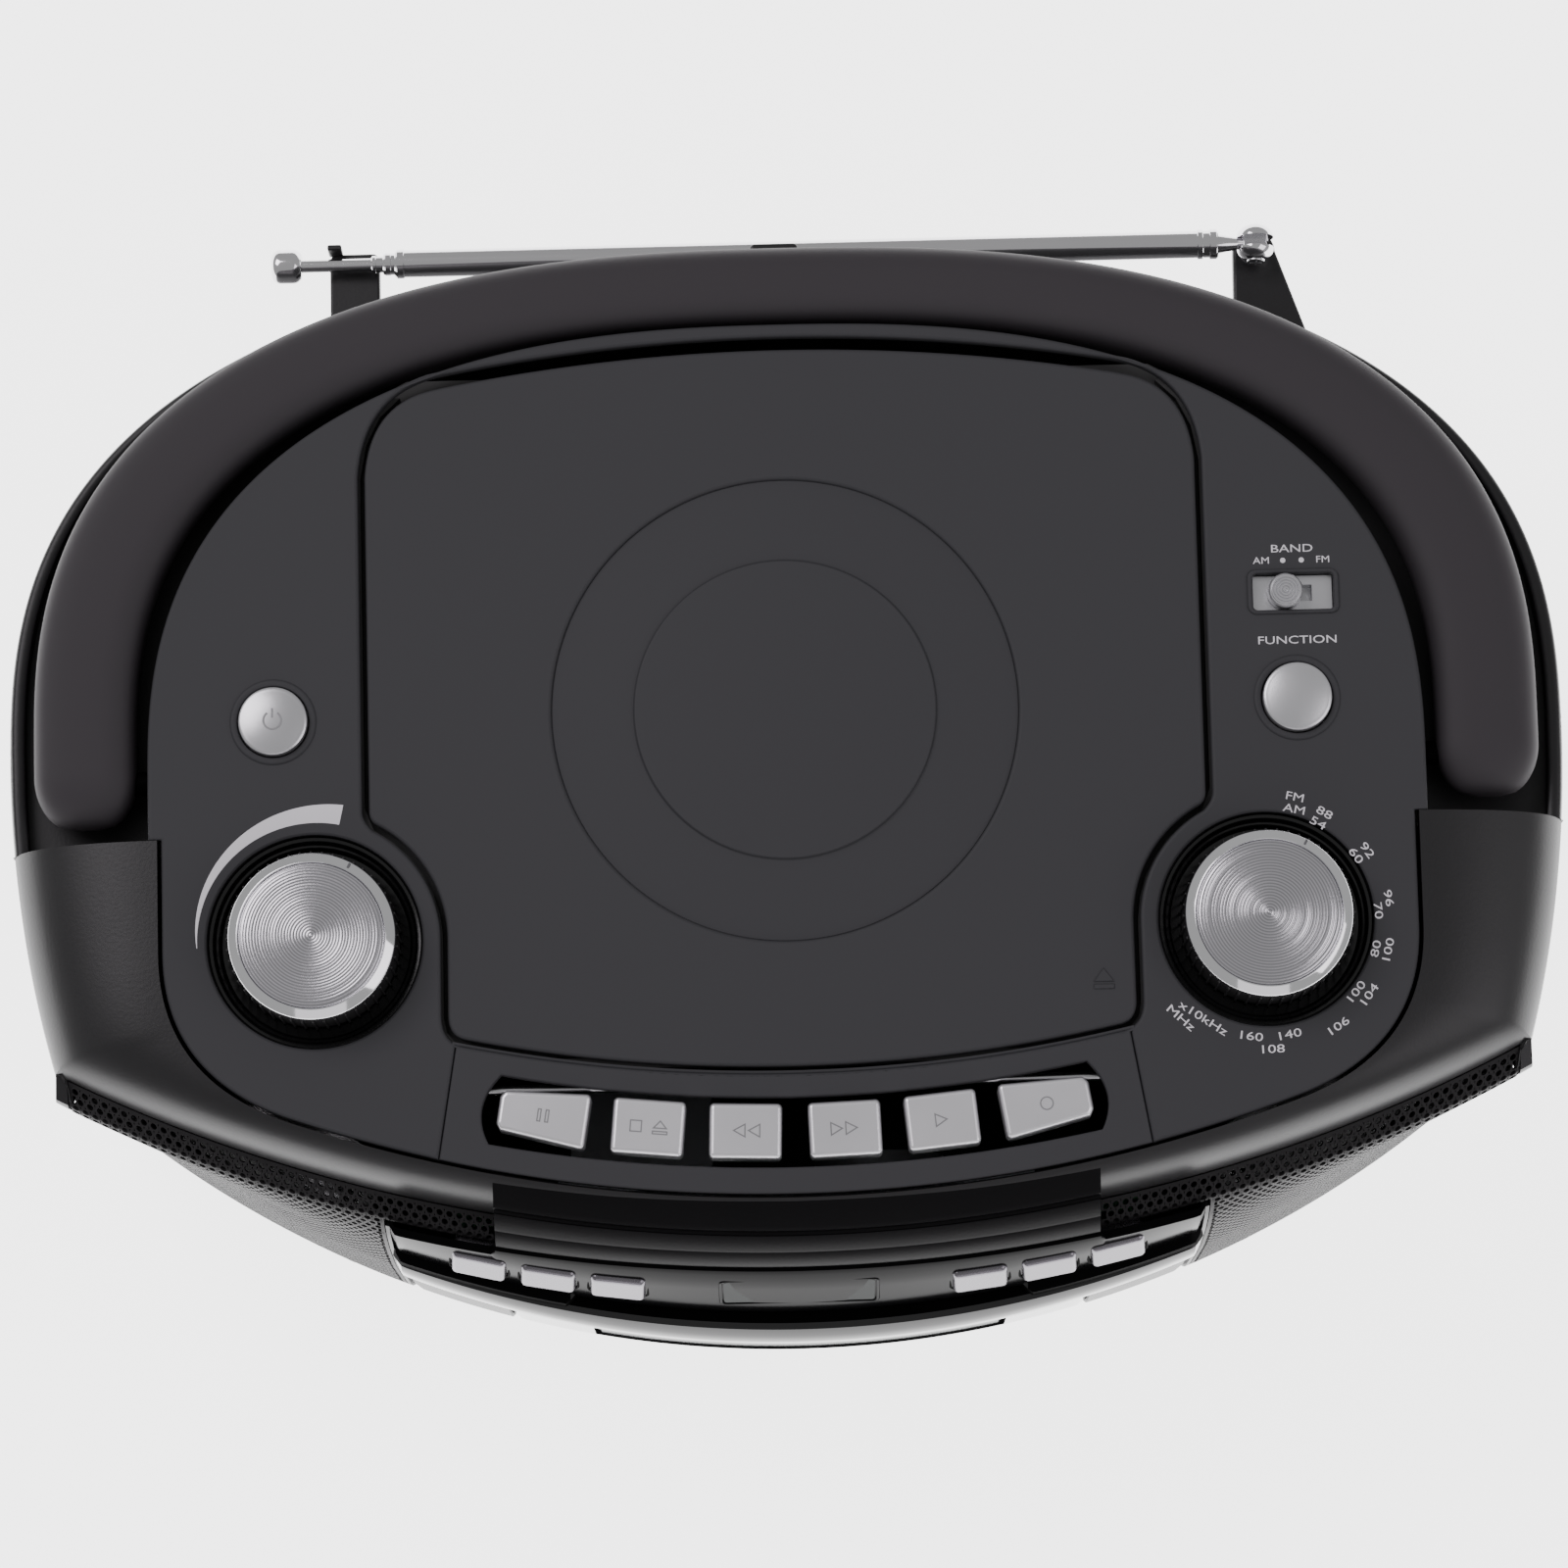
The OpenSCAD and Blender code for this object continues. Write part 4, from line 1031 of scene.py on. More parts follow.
    def channel_ends(self) -> bpy.types.Object:
        """Front walls of the channel, up to the shoulder."""
        x = np.linspace(self.trench.inner[0] - 3, self.form.half_width - 1.6, 24)
        foot = self.band(np.array([self.shoulder_z]), self.trench.front_y)[0, -1:]
        edge = self.deck_edge(foot)
        curve = self.round_over(foot, self.bend(foot, edge), edge, np.linspace(0, 1, 40)[:, None])[::-1]
        top = np.interp(x, curve[:, 0], curve[:, 2])
        t = np.linspace(0, 1, 8)[:, None]
        foot_z = self.trench.floor_z - 1
        height = foot_z + (top - foot_z) * t
        right = np.stack([x + 0 * t, np.full(height.shape, self.trench.front_y), height], -1)
        return self.pair("channel_ends", right, grid_quads(*right.shape[:2])[:, ::-1])

    def underside(self) -> bpy.types.Object:
        """The floor, with a rounded edge up into the sides."""
        loop = self.form.ring(4)
        return plate("case_floor", [offset_loop(loop, 0.4)], 6.0, 4.0, 0.4, unchanged)

    def feet(self) -> bpy.types.Object:
        """Four rubber feet with a dished face."""
        high = box_mm("feet")[1]
        radius = 8.0
        profile = rounded_profile([(0, 0.5), (radius - 3, 0.5, 0.4), (radius - 2.4, 0, 0.5),
                                   (radius, 0, 0.8), (radius + 0.3, high[2], 0), (0, high[2])])
        x, y = high[0] - radius, high[1] - radius
        parts = [lathe("foot", profile, (sx * x, sy * y, 0), unchanged, 48)
                 for sx in (-1, 1) for sy in (-1, 1)]
        return joined("feet_rubber", parts)

    def antenna_rest(self) -> bpy.types.Object:
        """Ear under the antenna's ball, shelf and post under its tip, and the handle's stop."""
        x, y = centre_of("antenna_swivel")[0], centre_of("antenna_screw")[1]
        z = centre_of("antenna_tip")[2]
        turn = np.linspace(0, math.pi, 25)
        ear = np.concatenate([np.stack([x + 4.5 * np.cos(turn), y + 4.5 * np.sin(turn)], -1),
                              [[x - 4.7, 105], [88, 99], [88, 92], [118, 88], [113, 98]]])
        shelf = rounded_box(10.6, 17, 1.5) + [-89.5, 110.3]
        parts = [block("ear", ear, z - 8.4, z - 5.4, 0.7, unchanged),
                 block("shelf", shelf, z - 6.4, z - 3.4, 0.5, unchanged),
                 block("post", rounded_box(3, 1.2, 0.4) + [-93.5, 119.0], z - 4, z + 1.6, 0.3,
                       unchanged),
                 block("tab", rounded_box(10, 3.2, 1.0) + [0, 110.3], 112, 125.6, 0.6, unchanged)]
        return joined("antenna_rest", parts)

    def build(self) -> None:
        """Makes and dresses every part of the case."""
        front = joined("case_front_half", [self.lower_front(), self.shoulder(), self.side_rims()])
        self.put(thicken(front, self.wall, 32), "cabinet", CASE, "front_cabinet")
        # The brow wears the darker copy of the case black: painted shade.
        self.put(self.brow(), "cabinet", BROW_SHADED)
        self.put(thicken(self.rear(), self.wall, 40), "cabinet", CASE, "rear_cabinet")
        self.put(self.trench.build(self.form), "cabinet", CASE)
        self.put(self.channel_ends(), "cabinet", CASE)
        self.put(self.underside(), "cabinet", CASE)
        self.put(self.feet(), "cabinet", RUBBER, "feet")
        self.put(self.antenna_rest(), "cabinet", CASE, "antenna_bracket")


@dataclass
class Grille(Kit):
    """Perforated steel over one speaker: a flange on top, a sharp fold and a steep face."""
    side: int
    form: CabinetForm
    pitch: float = 2.0
    hole: float = 0.64
    inner_x: float = 84.6
    flange_x: float = 62.0
    outer_x: float = 148.8
    low_z: float = 24.2
    top_z: float = 121.9
    fold: float = 6.0
    top_border: float = 0.7
    low_border: float = 1.6
    side_border: float = 0.8

    def surface(self, u: Array, v: Array) -> Array:
        """Point at x = u and distance v down the middle section from the top edge."""
        z = np.linspace(self.low_z, self.top_z, 400)[::-1]
        _, apex, _ = self.form.at(z)
        run = np.concatenate([[0], np.cumsum(np.hypot(np.diff(z), np.diff(apex)))])
        height = np.interp(v, run, z)
        return self.form.front(u, height)

    def run(self) -> float:
        """Length of the middle section from the top edge to the bottom one."""
        z = np.linspace(self.low_z, self.top_z, 400)
        _, apex, _ = self.form.at(z)
        return float(np.hypot(np.diff(z), np.diff(apex)).sum())

    def sheet(self, x0: float, x1: float, v0: float, v1: float) -> tuple[Array, Array]:
        """Cells of one staggered lattice of round holes.

        Each cell is a rectangle with a twelve-sided hole: corner k of the hole lies at angle
        30k degrees, and the matching outer point is where that ray meets the rectangle.

        Args:
            x0: inner edge.
            x1: outer edge.
            v0: start, down the section.
            v1: end, down the section.

        Returns:
            Points and quads.
        """
        height = self.pitch * math.sqrt(3) / 2
        rows = int(round((v1 - v0) / height))
        height = (v1 - v0) / rows
        cols = int(round((x1 - x0) / self.pitch))
        width = (x1 - x0) / cols
        angle = np.radians(np.arange(0, 360, 30)) + math.radians(15)
        ray = np.stack([np.cos(angle), np.sin(angle)], -1)
        reach = 1 / np.maximum(np.abs(ray[:, 0]) / (width / 2), np.abs(ray[:, 1]) / (height / 2))
        outer = ray * reach[:, None]
        inner = ray * self.hole
        r, c = np.meshgrid(np.arange(rows), np.arange(cols), indexing="ij")
        cx = x0 + (c + 0.5 + np.where(r % 2 == 1, 0.5, 0.0)) * width
        cy = v0 + (r + 0.5) * height
        centres = np.stack([cx, cy], -1).reshape(-1, 1, 2)
        centres = centres[centres[:, 0, 0] < x1 - width * 0.4]
        cells = np.concatenate([outer, inner])[None] + centres
        k = np.arange(12)
        quad = np.stack([k, (k + 1) % 12, 12 + (k + 1) % 12, 12 + k], -1)
        faces = quad[None] + (np.arange(len(centres)) * 24)[:, None, None]
        return cells.reshape(-1, 2), faces.reshape(-1, 4)

    def frame_strips(self) -> list[tuple[float, float, float, float]]:
        """Plain borders: (x0, x1, v0, v1) of the top, bottom, inner and outer edges."""
        end = self.run()
        low, side = end - self.low_border, self.side_border
        return [(self.flange_x, self.outer_x, 0, self.top_border),
                (self.inner_x, self.outer_x, low, end),
                (self.inner_x, self.inner_x + side, self.fold, low),
                (self.outer_x - side, self.outer_x, self.top_border, low)]

    def build(self) -> None:
        """Makes the sheet with its holes, bends it to the cabinet and gives it its thickness."""
        half = self.side_border / 2
        low, outer = self.run() - self.low_border, self.outer_x - half
        flats = [self.sheet(self.flange_x, outer, self.top_border, self.fold),
                 self.sheet(self.inner_x + half, outer, self.fold, low)]
        for x0, x1, v0, v1 in self.frame_strips():
            n, m = max(2, int((x1 - x0) / 3) + 1), max(2, int((v1 - v0) / 3) + 1)
            u, v = np.meshgrid(np.linspace(x0, x1, n), np.linspace(v0, v1, m))
            flats.append((np.stack([u, v], -1).reshape(-1, 2), grid_quads(m, n)))
        points, faces, count = [], [], 0
        for flat, quads in flats:
            points.append(self.surface(flat[:, 0], flat[:, 1]) * [self.side, 1, 1])
            faces.append(quads + count)
            count += len(flat)
        name = "grille_left_sheet" if self.side < 0 else "grille_right_sheet"
        obj = piece(name, np.concatenate(points), np.concatenate(faces), 40, outward=False, merge=0.02)
        face_forward(obj)
        self.put(thicken(obj, 0.9, 40), "cabinet", STEEL_MESH, name.replace("_sheet", ""))


def face_forward(obj: bpy.types.Object) -> None:
    """Turns a sheet's faces towards the front, the top and away from the middle."""
    work = bmesh.new()
    work.from_mesh(obj.data)
    flip = [f for f in work.faces if f.normal.dot(Vector((f.calc_center_median().x * 2, -1, 0.6))) < 0]
    bmesh.ops.reverse_faces(work, faces=flip)
    work.to_mesh(obj.data)
    work.free()


# ---------------------------------------------------------------- top of the player
@dataclass
class Handle(Kit):
    """The folded carrying handle: a crowned arch that lies in its channel."""
    outer: tuple = (154.4, 100.0)
    inner: tuple = (133.2, 83.6)
    wide_y: float = 7.6
    pivot: tuple = (-1.6, -7.5)
    depth: float = 14.0
    cap: float = 11.0

    def build(self) -> None:
        """Sweeps a rounded section along the arch.

        At arch angle a the section runs between the inner and the outer curve. Its half width is
        half their distance and its half height falls to nothing on a quarter circle at both ends.
        """
        straight = np.linspace(-self.cap, self.wide_y, 20)
        angle = np.linspace(0, math.pi, 181)
        outer = self.rail(*self.outer, straight, angle, self.wide_y)
        inner = self.rail(*self.inner, straight, angle, self.wide_y)
        mid, half = (outer + inner) / 2, (outer - inner) / 2
        run = np.concatenate([[0], np.cumsum(np.linalg.norm(np.diff(mid, axis=0), axis=1))])
        near = np.minimum(run, run[-1] - run)
        swell = np.sqrt(np.clip(1 - (1 - np.clip(near / self.cap, 0, 1)) ** 2, 0, 1))[:, None]
        turn = np.linspace(0, 2 * math.pi, 48, endpoint=False)
        across = np.sign(np.cos(turn)) * np.abs(np.cos(turn)) ** 0.55
        rise = np.sign(np.sin(turn)) * np.abs(np.sin(turn)) ** 0.75
        height = self.pivot[1] + rise * self.depth / 2 * np.maximum(swell, 0.02)
        plan = mid[:, None] + half[:, None] * across[None, :, None] * (0.25 + 0.75 * swell[:, None])
        grid = np.concatenate([plan, height[..., None]], -1)
        faces = grid_quads(*grid.shape[:2], True).tolist()
        n, rows = len(turn), len(grid)
        faces += [list(range(n)), [(rows - 1) * n + k for k in range(n)][::-1]]
        self.put(piece("handle_arch", to_deck(grid), faces, 50), "handle", HANDLE, "handle")

    def rail(self, a: float, b: float, straight: Array, angle: Array, y0: float) -> Array:
        """One edge of the arch: up the right side, round the back and down the left side."""
        right = np.stack([np.full(len(straight), a), straight], -1)
        rear = superellipse(a, b, y0, angle)
        return np.concatenate([right[:-1], rear, (right * [-1, 1])[::-1][1:]])


# Text, bearing in degrees, distance from the knob's middle in millimetres, and 1 or -1 for whether
# the text's top points away from the knob or towards it.
DIAL = (("88", 59.4, 25.9, 1), ("54", 59.8, 23.4, 1), ("92", 33.7, 25.9, 1), ("60", 34.7, 23.4, 1),
        ("96", 9.9, 25.9, 1), ("70", 4.8, 23.4, 1), ("100", -14.1, 25.9, -1), ("80", -14.5, 23.4, -1),
        ("104", -36.4, 25.9, -1), ("100", -38.9, 23.4, -1), ("106", -56.5, 25.9, -1),
        ("140", -79.4, 23.4, -1), ("108", -88.3, 25.9, -1), ("160", -98.7, 23.4, -1),
        ("x10kHz", -124.0, 23.2, -1), ("MHz", -132.7, 25.9, -1))
DIAL_SHIFT = (-0.6, -0.9)
DIAL_BANDS = (("FM", 76.6, 25.8), ("AM", 75.6, 23.3))
DIAL_BANDS_SHIFT = (0.7, -0.3)


@dataclass
class Deck(Kit):
    """The deck plate with its wells, the panel behind the keys, and what is printed on them."""
    thick: float = 2.4
    edge: float = 0.7
    well_r: float = 21.8
    button_r: float = 7.1
    lid_gap: float = 1.4
    panel_gap: float = 0.12

    def build(self) -> None:
        """Makes the deck's parts."""
        left, right = from_deck(centre_of("volume_knob_cap")), from_deck(centre_of("tuning_knob_cap"))
        power, function = from_deck(centre_of("power_button")), from_deck(centre_of("function_button"))
        switch = from_deck(centre_of("band_switch"))
        slot = rounded_box(16.6, 7.6, 1.0) + switch[:2]
        holes = [both_sides(lid_half(self.lid_gap))]
        holes += [circle(c[:2], self.well_r, 128) for c in (left, right)]
        holes += [circle(c[:2], self.button_r + 0.35, 64) for c in (power, function)]
        outline = self.without_keys(resample(both_sides(deck_half()), 4.0))
        parts = [plate("deck_plate", [outline, *holes, slot], 0, -self.thick, self.edge)]
        self.put(joined("knob_wells", [self.well(c) for c in (left, right)]), "cabinet", WELL)
        bore = self.button_r + 0.3
        rim_profile = rounded_profile([(bore, -4), (bore, 0.45, 0.3), (bore + 1.2, 0.45, 0.4),
                                       (bore + 1.6, -0.1), (bore, -4)])
        parts += [lathe("rim", rim_profile, (c[0], c[1], 0), segments=64) for c in (power, function)]
        rim = plate("rim", [rounded_box(18.8, 9.4, 1.8) + switch[:2], slot], 0.5, -1.0, 0.4)
        self.put(joined("deck_top", [*parts, rim]), "cabinet", DECK, "top_panel")
        self.put(self.surround(), "cabinet", DECK, "key_surround")
        self.print_marks(left, right, function, switch)

    def without_keys(self, outline: Array) -> Array:
        """The deck's outline with the key panel's trapezoid cut out of its front edge."""
        panel = key_panel(self.panel_gap)
        front_zone = -75
        on_front = (np.abs(outline[:, 0]) < PANEL_FRONT_HALF) & (outline[:, 1] < front_zone)
        start = np.argmax(on_front & ~np.roll(on_front, 1))
        rolled = np.roll(outline, -start, 0)
        cut = (np.abs(rolled[:, 0]) < PANEL_FRONT_HALF + 0.2) & (rolled[:, 1] < front_zone)
        front, back = panel[:PANEL_COLUMNS], panel[PANEL_COLUMNS:]
        return np.concatenate([rolled[~cut], front[:1], back[::-1], front[-1:]])

    def well(self, c: Array) -> bpy.types.Object:
        """Stepped bowl round a knob."""
        r = self.well_r
        return lathe("well", rounded_profile([
            (r, -0.02), (r - 0.1, -1.4, 0.2), (r - 1.1, -1.5, 0.3), (r - 1.3, -3.2, 0.3),
            (r - 2.2, -3.3, 0.3), (r - 2.4, -5.3, 0.3), (3.3, -5.4, 0), (3.3, -7, 0),
            (r + 1.1, -7, 0), (r + 1.1, -1.2), (r, -0.02)]), (c[0], c[1], 0), segments=128)

    def surround(self) -> bpy.types.Object:
        """The trapezoid panel with one long round-ended opening that the six keys stand in."""
        return plate("key_panel", [key_panel(), KeyRow().opening(0.8)], 0, -self.thick, 0.4)

    def print_marks(self, left: Array, right: Array, function: Array, switch: Array) -> None:
        """The level wedge, the dial's numbers and the switches' words, as thin ink."""
        ink = [self.wedge(left)]
        for text, degrees, radius, way in DIAL:
            spot = right[:2] + radius * bearing(degrees) + DIAL_SHIFT
            ink.append(self.word(text, spot, 2.4, degrees - 90 * way, 1.5))
        for text, degrees, radius in DIAL_BANDS:
            spot = right[:2] + radius * bearing(degrees) + DIAL_BANDS_SHIFT
            ink.append(self.word(text, spot, 2.4, -13, 1.35))
        ink += [self.word("FUNCTION", function[:2] + [0.5, 11.9], 2.3, 0, 1.4),
                self.word("BAND", switch[:2] + [0, 8.9], 2.3, 0, 1.4),
                self.word("AM", switch[:2] + [-6.3, 6.5], 2.0, 0, 1.2),
                self.word("FM", switch[:2] + [6.3, 6.5], 2.0, 0, 1.2)]
        ink += [self.dot(switch[:2] + [dx, 6.5], 0.55) for dx in (-1.9, 1.9)]
        self.put(joined("deck_print", ink), "cabinet", INK)

    def dot(self, spot: Array, radius: float) -> bpy.types.Object:
        """A printed dot."""
        return printed("dot", [circle(spot, radius, 24)])

    def wedge(self, c: Array) -> bpy.types.Object:
        """Level mark round the volume knob: an arc that widens clockwise from nothing."""
        a = np.radians(np.linspace(182, 77.5, 60))
        grow = np.linspace(0, 1, 60)
        inner = c[:2] + (23.9 + 0.6 * grow)[:, None] * np.stack([np.cos(a), np.sin(a)], -1)
        outer = c[:2] + (24.05 + 4.6 * grow)[:, None] * np.stack([np.cos(a), np.sin(a)], -1)
        return printed("wedge", [np.concatenate([inner, outer[::-1]])])

    def word(self, text: str, spot: Array, size: float, turn: float, wide: float = 1.0) -> bpy.types.Object:
        """Printed word: text filled, made a mesh, turned and laid 0.06 mm proud of the deck.

        Args:
            text: letters or digits.
            spot: its middle in the deck's frame.
            size: letter height over 0.7, in millimetres.
            turn: degrees, counter-clockwise.
            wide: width of the letters over their usual width.

        Returns:
            The word.
        """
        curve = bpy.data.curves.new("word", "FONT")
        curve.body = text
        curve.size = size
        curve.align_x = "CENTER"
        curve.align_y = "CENTER"
        curve.extrude = 0.05
        curve.resolution_u = 3
        temp = bpy.data.objects.new("word", curve)
        bpy.context.scene.collection.objects.link(temp)
        graph = bpy.context.evaluated_depsgraph_get()
        mesh = bpy.data.meshes.new_from_object(temp.evaluated_get(graph))
        bpy.data.objects.remove(temp)
        flat = np.zeros(len(mesh.vertices) * 3)
        mesh.vertices.foreach_get("co", flat)
        flat = flat.reshape(-1, 3) * [wide, 1, 1]
        flat[:, :2] = flat[:, :2] @ turn_matrix(math.radians(turn)) + spot
        flat[:, 2] += 0.02
        mesh.vertices.foreach_set("co", (to_deck(flat) * MM).ravel())
        obj = bpy.data.objects.new("word", mesh)
        bpy.context.scene.collection.objects.link(obj)
        return obj


@dataclass
class DiscLid(Kit):
    """The lid over the disc, with two turned steps in its face and an opening mark."""
    thick: float = 2.4
    edge: float = 0.7
    outer_r: float = 47.8
    inner_r: float = 30.8
    sink: float = 0.7

    def build(self) -> None:
        """Makes the lid's face, its sunk ring and its hinge lugs."""
        c = from_deck(centre_of("disc_hub"))
        loop = resample(both_sides(lid_half()), 5.0)
        face = plate("lid_face", [loop, circle(c[:2], self.outer_r, 240)], 0, -self.thick, self.edge)
        s = self.sink
        ring = lathe("lid_ring", rounded_profile([
            (0, -self.thick), (self.outer_r, -self.thick), (self.outer_r, -s, 0.2),
            (self.inner_r + 0.35, -s, 0.2), (self.inner_r, 0, 0.3), (0, 0)]), (c[0], c[1], 0), segments=240)
        hinge_y = np.mean([from_deck(v)[1] for v in box_mm("lid_hinge_pins")])
        lugs = [block("lug", rounded_box(9.6, 3.6, 1.4) + [side * 45, hinge_y], -4.4, -2.2, 0.3, to_deck)
                for side in (-1, 1)]
        clamp = lathe("clamp", rounded_profile([(0, -2.3), (9, -2.3), (9, -4, 0.3), (14, -4, 0.6),
                                                (14, -2.3), (0, -2.3)]), (c[0], c[1], 0))
        self.put(joined("lid_shell", [face, ring, clamp, *lugs]), "cd_lid", DECK, "cd_lid")
        arrow = np.array([[-2.1, 0.4], [2.1, 0.4], [0, 3.2]]) + [63.4, -48.6]
        bar = rounded_box(4.2, 1.0, 0.1) + [63.4, -49.2]
        mark = [plate("mark", [loop], 0.3, -0.1, 0.15, steps=1) for loop in (arrow, bar)]
        self.put(joined("lid_mark", mark), "cd_lid", DECK)


@dataclass
class Knob(Kit):
    """A turned knob: black skirt, bright bevel, a spun disc, and a small dark mark on the bevel that paints
    a dark reflection.
    """
    side: str
    finish: Finish
    radius: float = 17.1
    height: float = 10.0
    painted_reflection: float = 61.0

    def build(self) -> None:
        """Makes the skirt, the bevel, the disc and the dark mark on the bevel, a painted reflection."""
        c = from_deck(centre_of(f"{self.side}_knob_cap"))
        spot = (c[0], c[1], 0)
        r, h = self.radius, self.height
        body = f"{self.side}_knob"
        skirt = lathe("skirt", rounded_profile([
            (0, -4.8), (r - 0.3, -4.8, 0.4), (r, -4.0, 0.3), (r, h - 1.9, 0.3), (r - 0.3, h - 1.7),
            (0, h - 1.7)]), spot, segments=160)
        self.put(joined(f"{self.side}_skirt", [skirt, *self.grip(c)]), body, CASE, body)
        bevel = lathe(f"{self.side}_bevel", rounded_profile([
            (r - 0.5, h - 2.0), (r - 0.05, h - 1.9, 0.1), (r - 0.15, h - 1.3, 0.25), (14.95, h + 0.05, 0.3),
            (14.8, h - 0.6), (r - 0.5, h - 2.0)]), spot, segments=160)
        self.put(bevel, body, BRIGHT)
        disc = lathe(f"{self.side}_disc", rounded_profile([
            (0, h - 1.6), (14.8, h - 1.6), (14.8, h - 0.55, 0.2), (13.6, h - 0.35, 0.4), (0, h - 0.35)]),
            spot, segments=160)
        self.put(disc, body, self.finish, f"{self.side}_knob_cap")
        # A small dark mark on the bevel at this bearing: painted reflection.
        lean = math.radians(self.painted_reflection)
        dark_reflection_patch = rounded_box(1.5, 0.5, 0.2) @ turn_matrix(lean) + c[:2] + 15.9 * bearing(self.painted_reflection)
        self.put(plate(f"{self.side}_index", [dark_reflection_patch], h - 0.3, h - 1.4, 0.05, steps=1), body, SHADE)

    def grip(self, c: Array) -> list[bpy.types.Object]:
        """Ribs round the skirt."""
        rib = rounded_box(0.8, 0.5, 0.2, 3)
        ribs = []
        for a in np.linspace(0, 2 * math.pi, 48, endpoint=False):
            spot = c[:2] + (self.radius + 0.02) * np.array([math.cos(a), math.sin(a)])
            ribs.append(block("rib", rib @ turn_matrix(a) + spot, -4.2, self.height - 2.4, 0.2, to_deck))
        return ribs


@dataclass
class DeckSwitches(Kit):
    """The two domed buttons and the band slider."""
    radius: float = 7.1

    def build(self) -> None:
        """Makes both buttons and the slider, and dresses the slider's bed."""
        for node in ("power_button", "function_button"):
            self.button(node)
        self.power_mark()
        self.slider()
        self.dress(SILVER, "band_switch")

    def button(self, node: str) -> None:
        """A button whose crown is a shallow parabola."""
        c = from_deck(centre_of(node))
        r, top = self.radius, self.radius - 0.7
        crown = [(top * (1 - t), 2.0 + 0.75 * (1 - (1 - t) ** 2)) for t in np.linspace(0, 1, 14)]
        profile = [(0, -4), (r, -4), (r, 1.3), (r - 0.15, 1.75), (r - 0.45, 1.97), *crown]
        self.put(lathe(f"{node}_dome", profile, (c[0], c[1], 0), segments=96), node, SILVER, node)

    def power_mark(self) -> None:
        """The usual standby sign: an open ring and a bar."""
        c = from_deck(centre_of("power_button"))
        a = np.radians(np.linspace(125, 415, 40))
        ring = np.stack([np.cos(a), np.sin(a)], -1)
        loops = (np.concatenate([ring * 2.0, ring[::-1] * 1.65]) + c[:2],
                 rounded_box(0.35, 2.0, 0.1) + c[:2] + [0, 1.5])
        mark = [plate("mark", [loop], 2.84, 2.4, 0.02, steps=1) for loop in loops]
        self.put(joined("power_mark", mark), "power_button", SYMBOL_AND_EDGE_SHADE)

    def slider(self) -> None:
        """The band slider's round cap with five raised rings."""
        low, high = box_mm("band_slider")
        c = from_deck((low + high) / 2)
        r = 3.55
        profile = [(0, -1.6), (r, -1.6), (r, 1.9), (r - 0.3, 2.3)]
        for x in r - 0.5 - 0.6 * np.arange(5):
            profile += [(x, 2.3), (x - 0.12, 2.55), (x - 0.36, 2.55), (x - 0.48, 2.3)]
        cap = lathe("band_knob", [*profile, (0, 2.3)], (c[0], c[1], 0), segments=48)
        self.put(cap, "band_slider", SILVER, "band_slider")


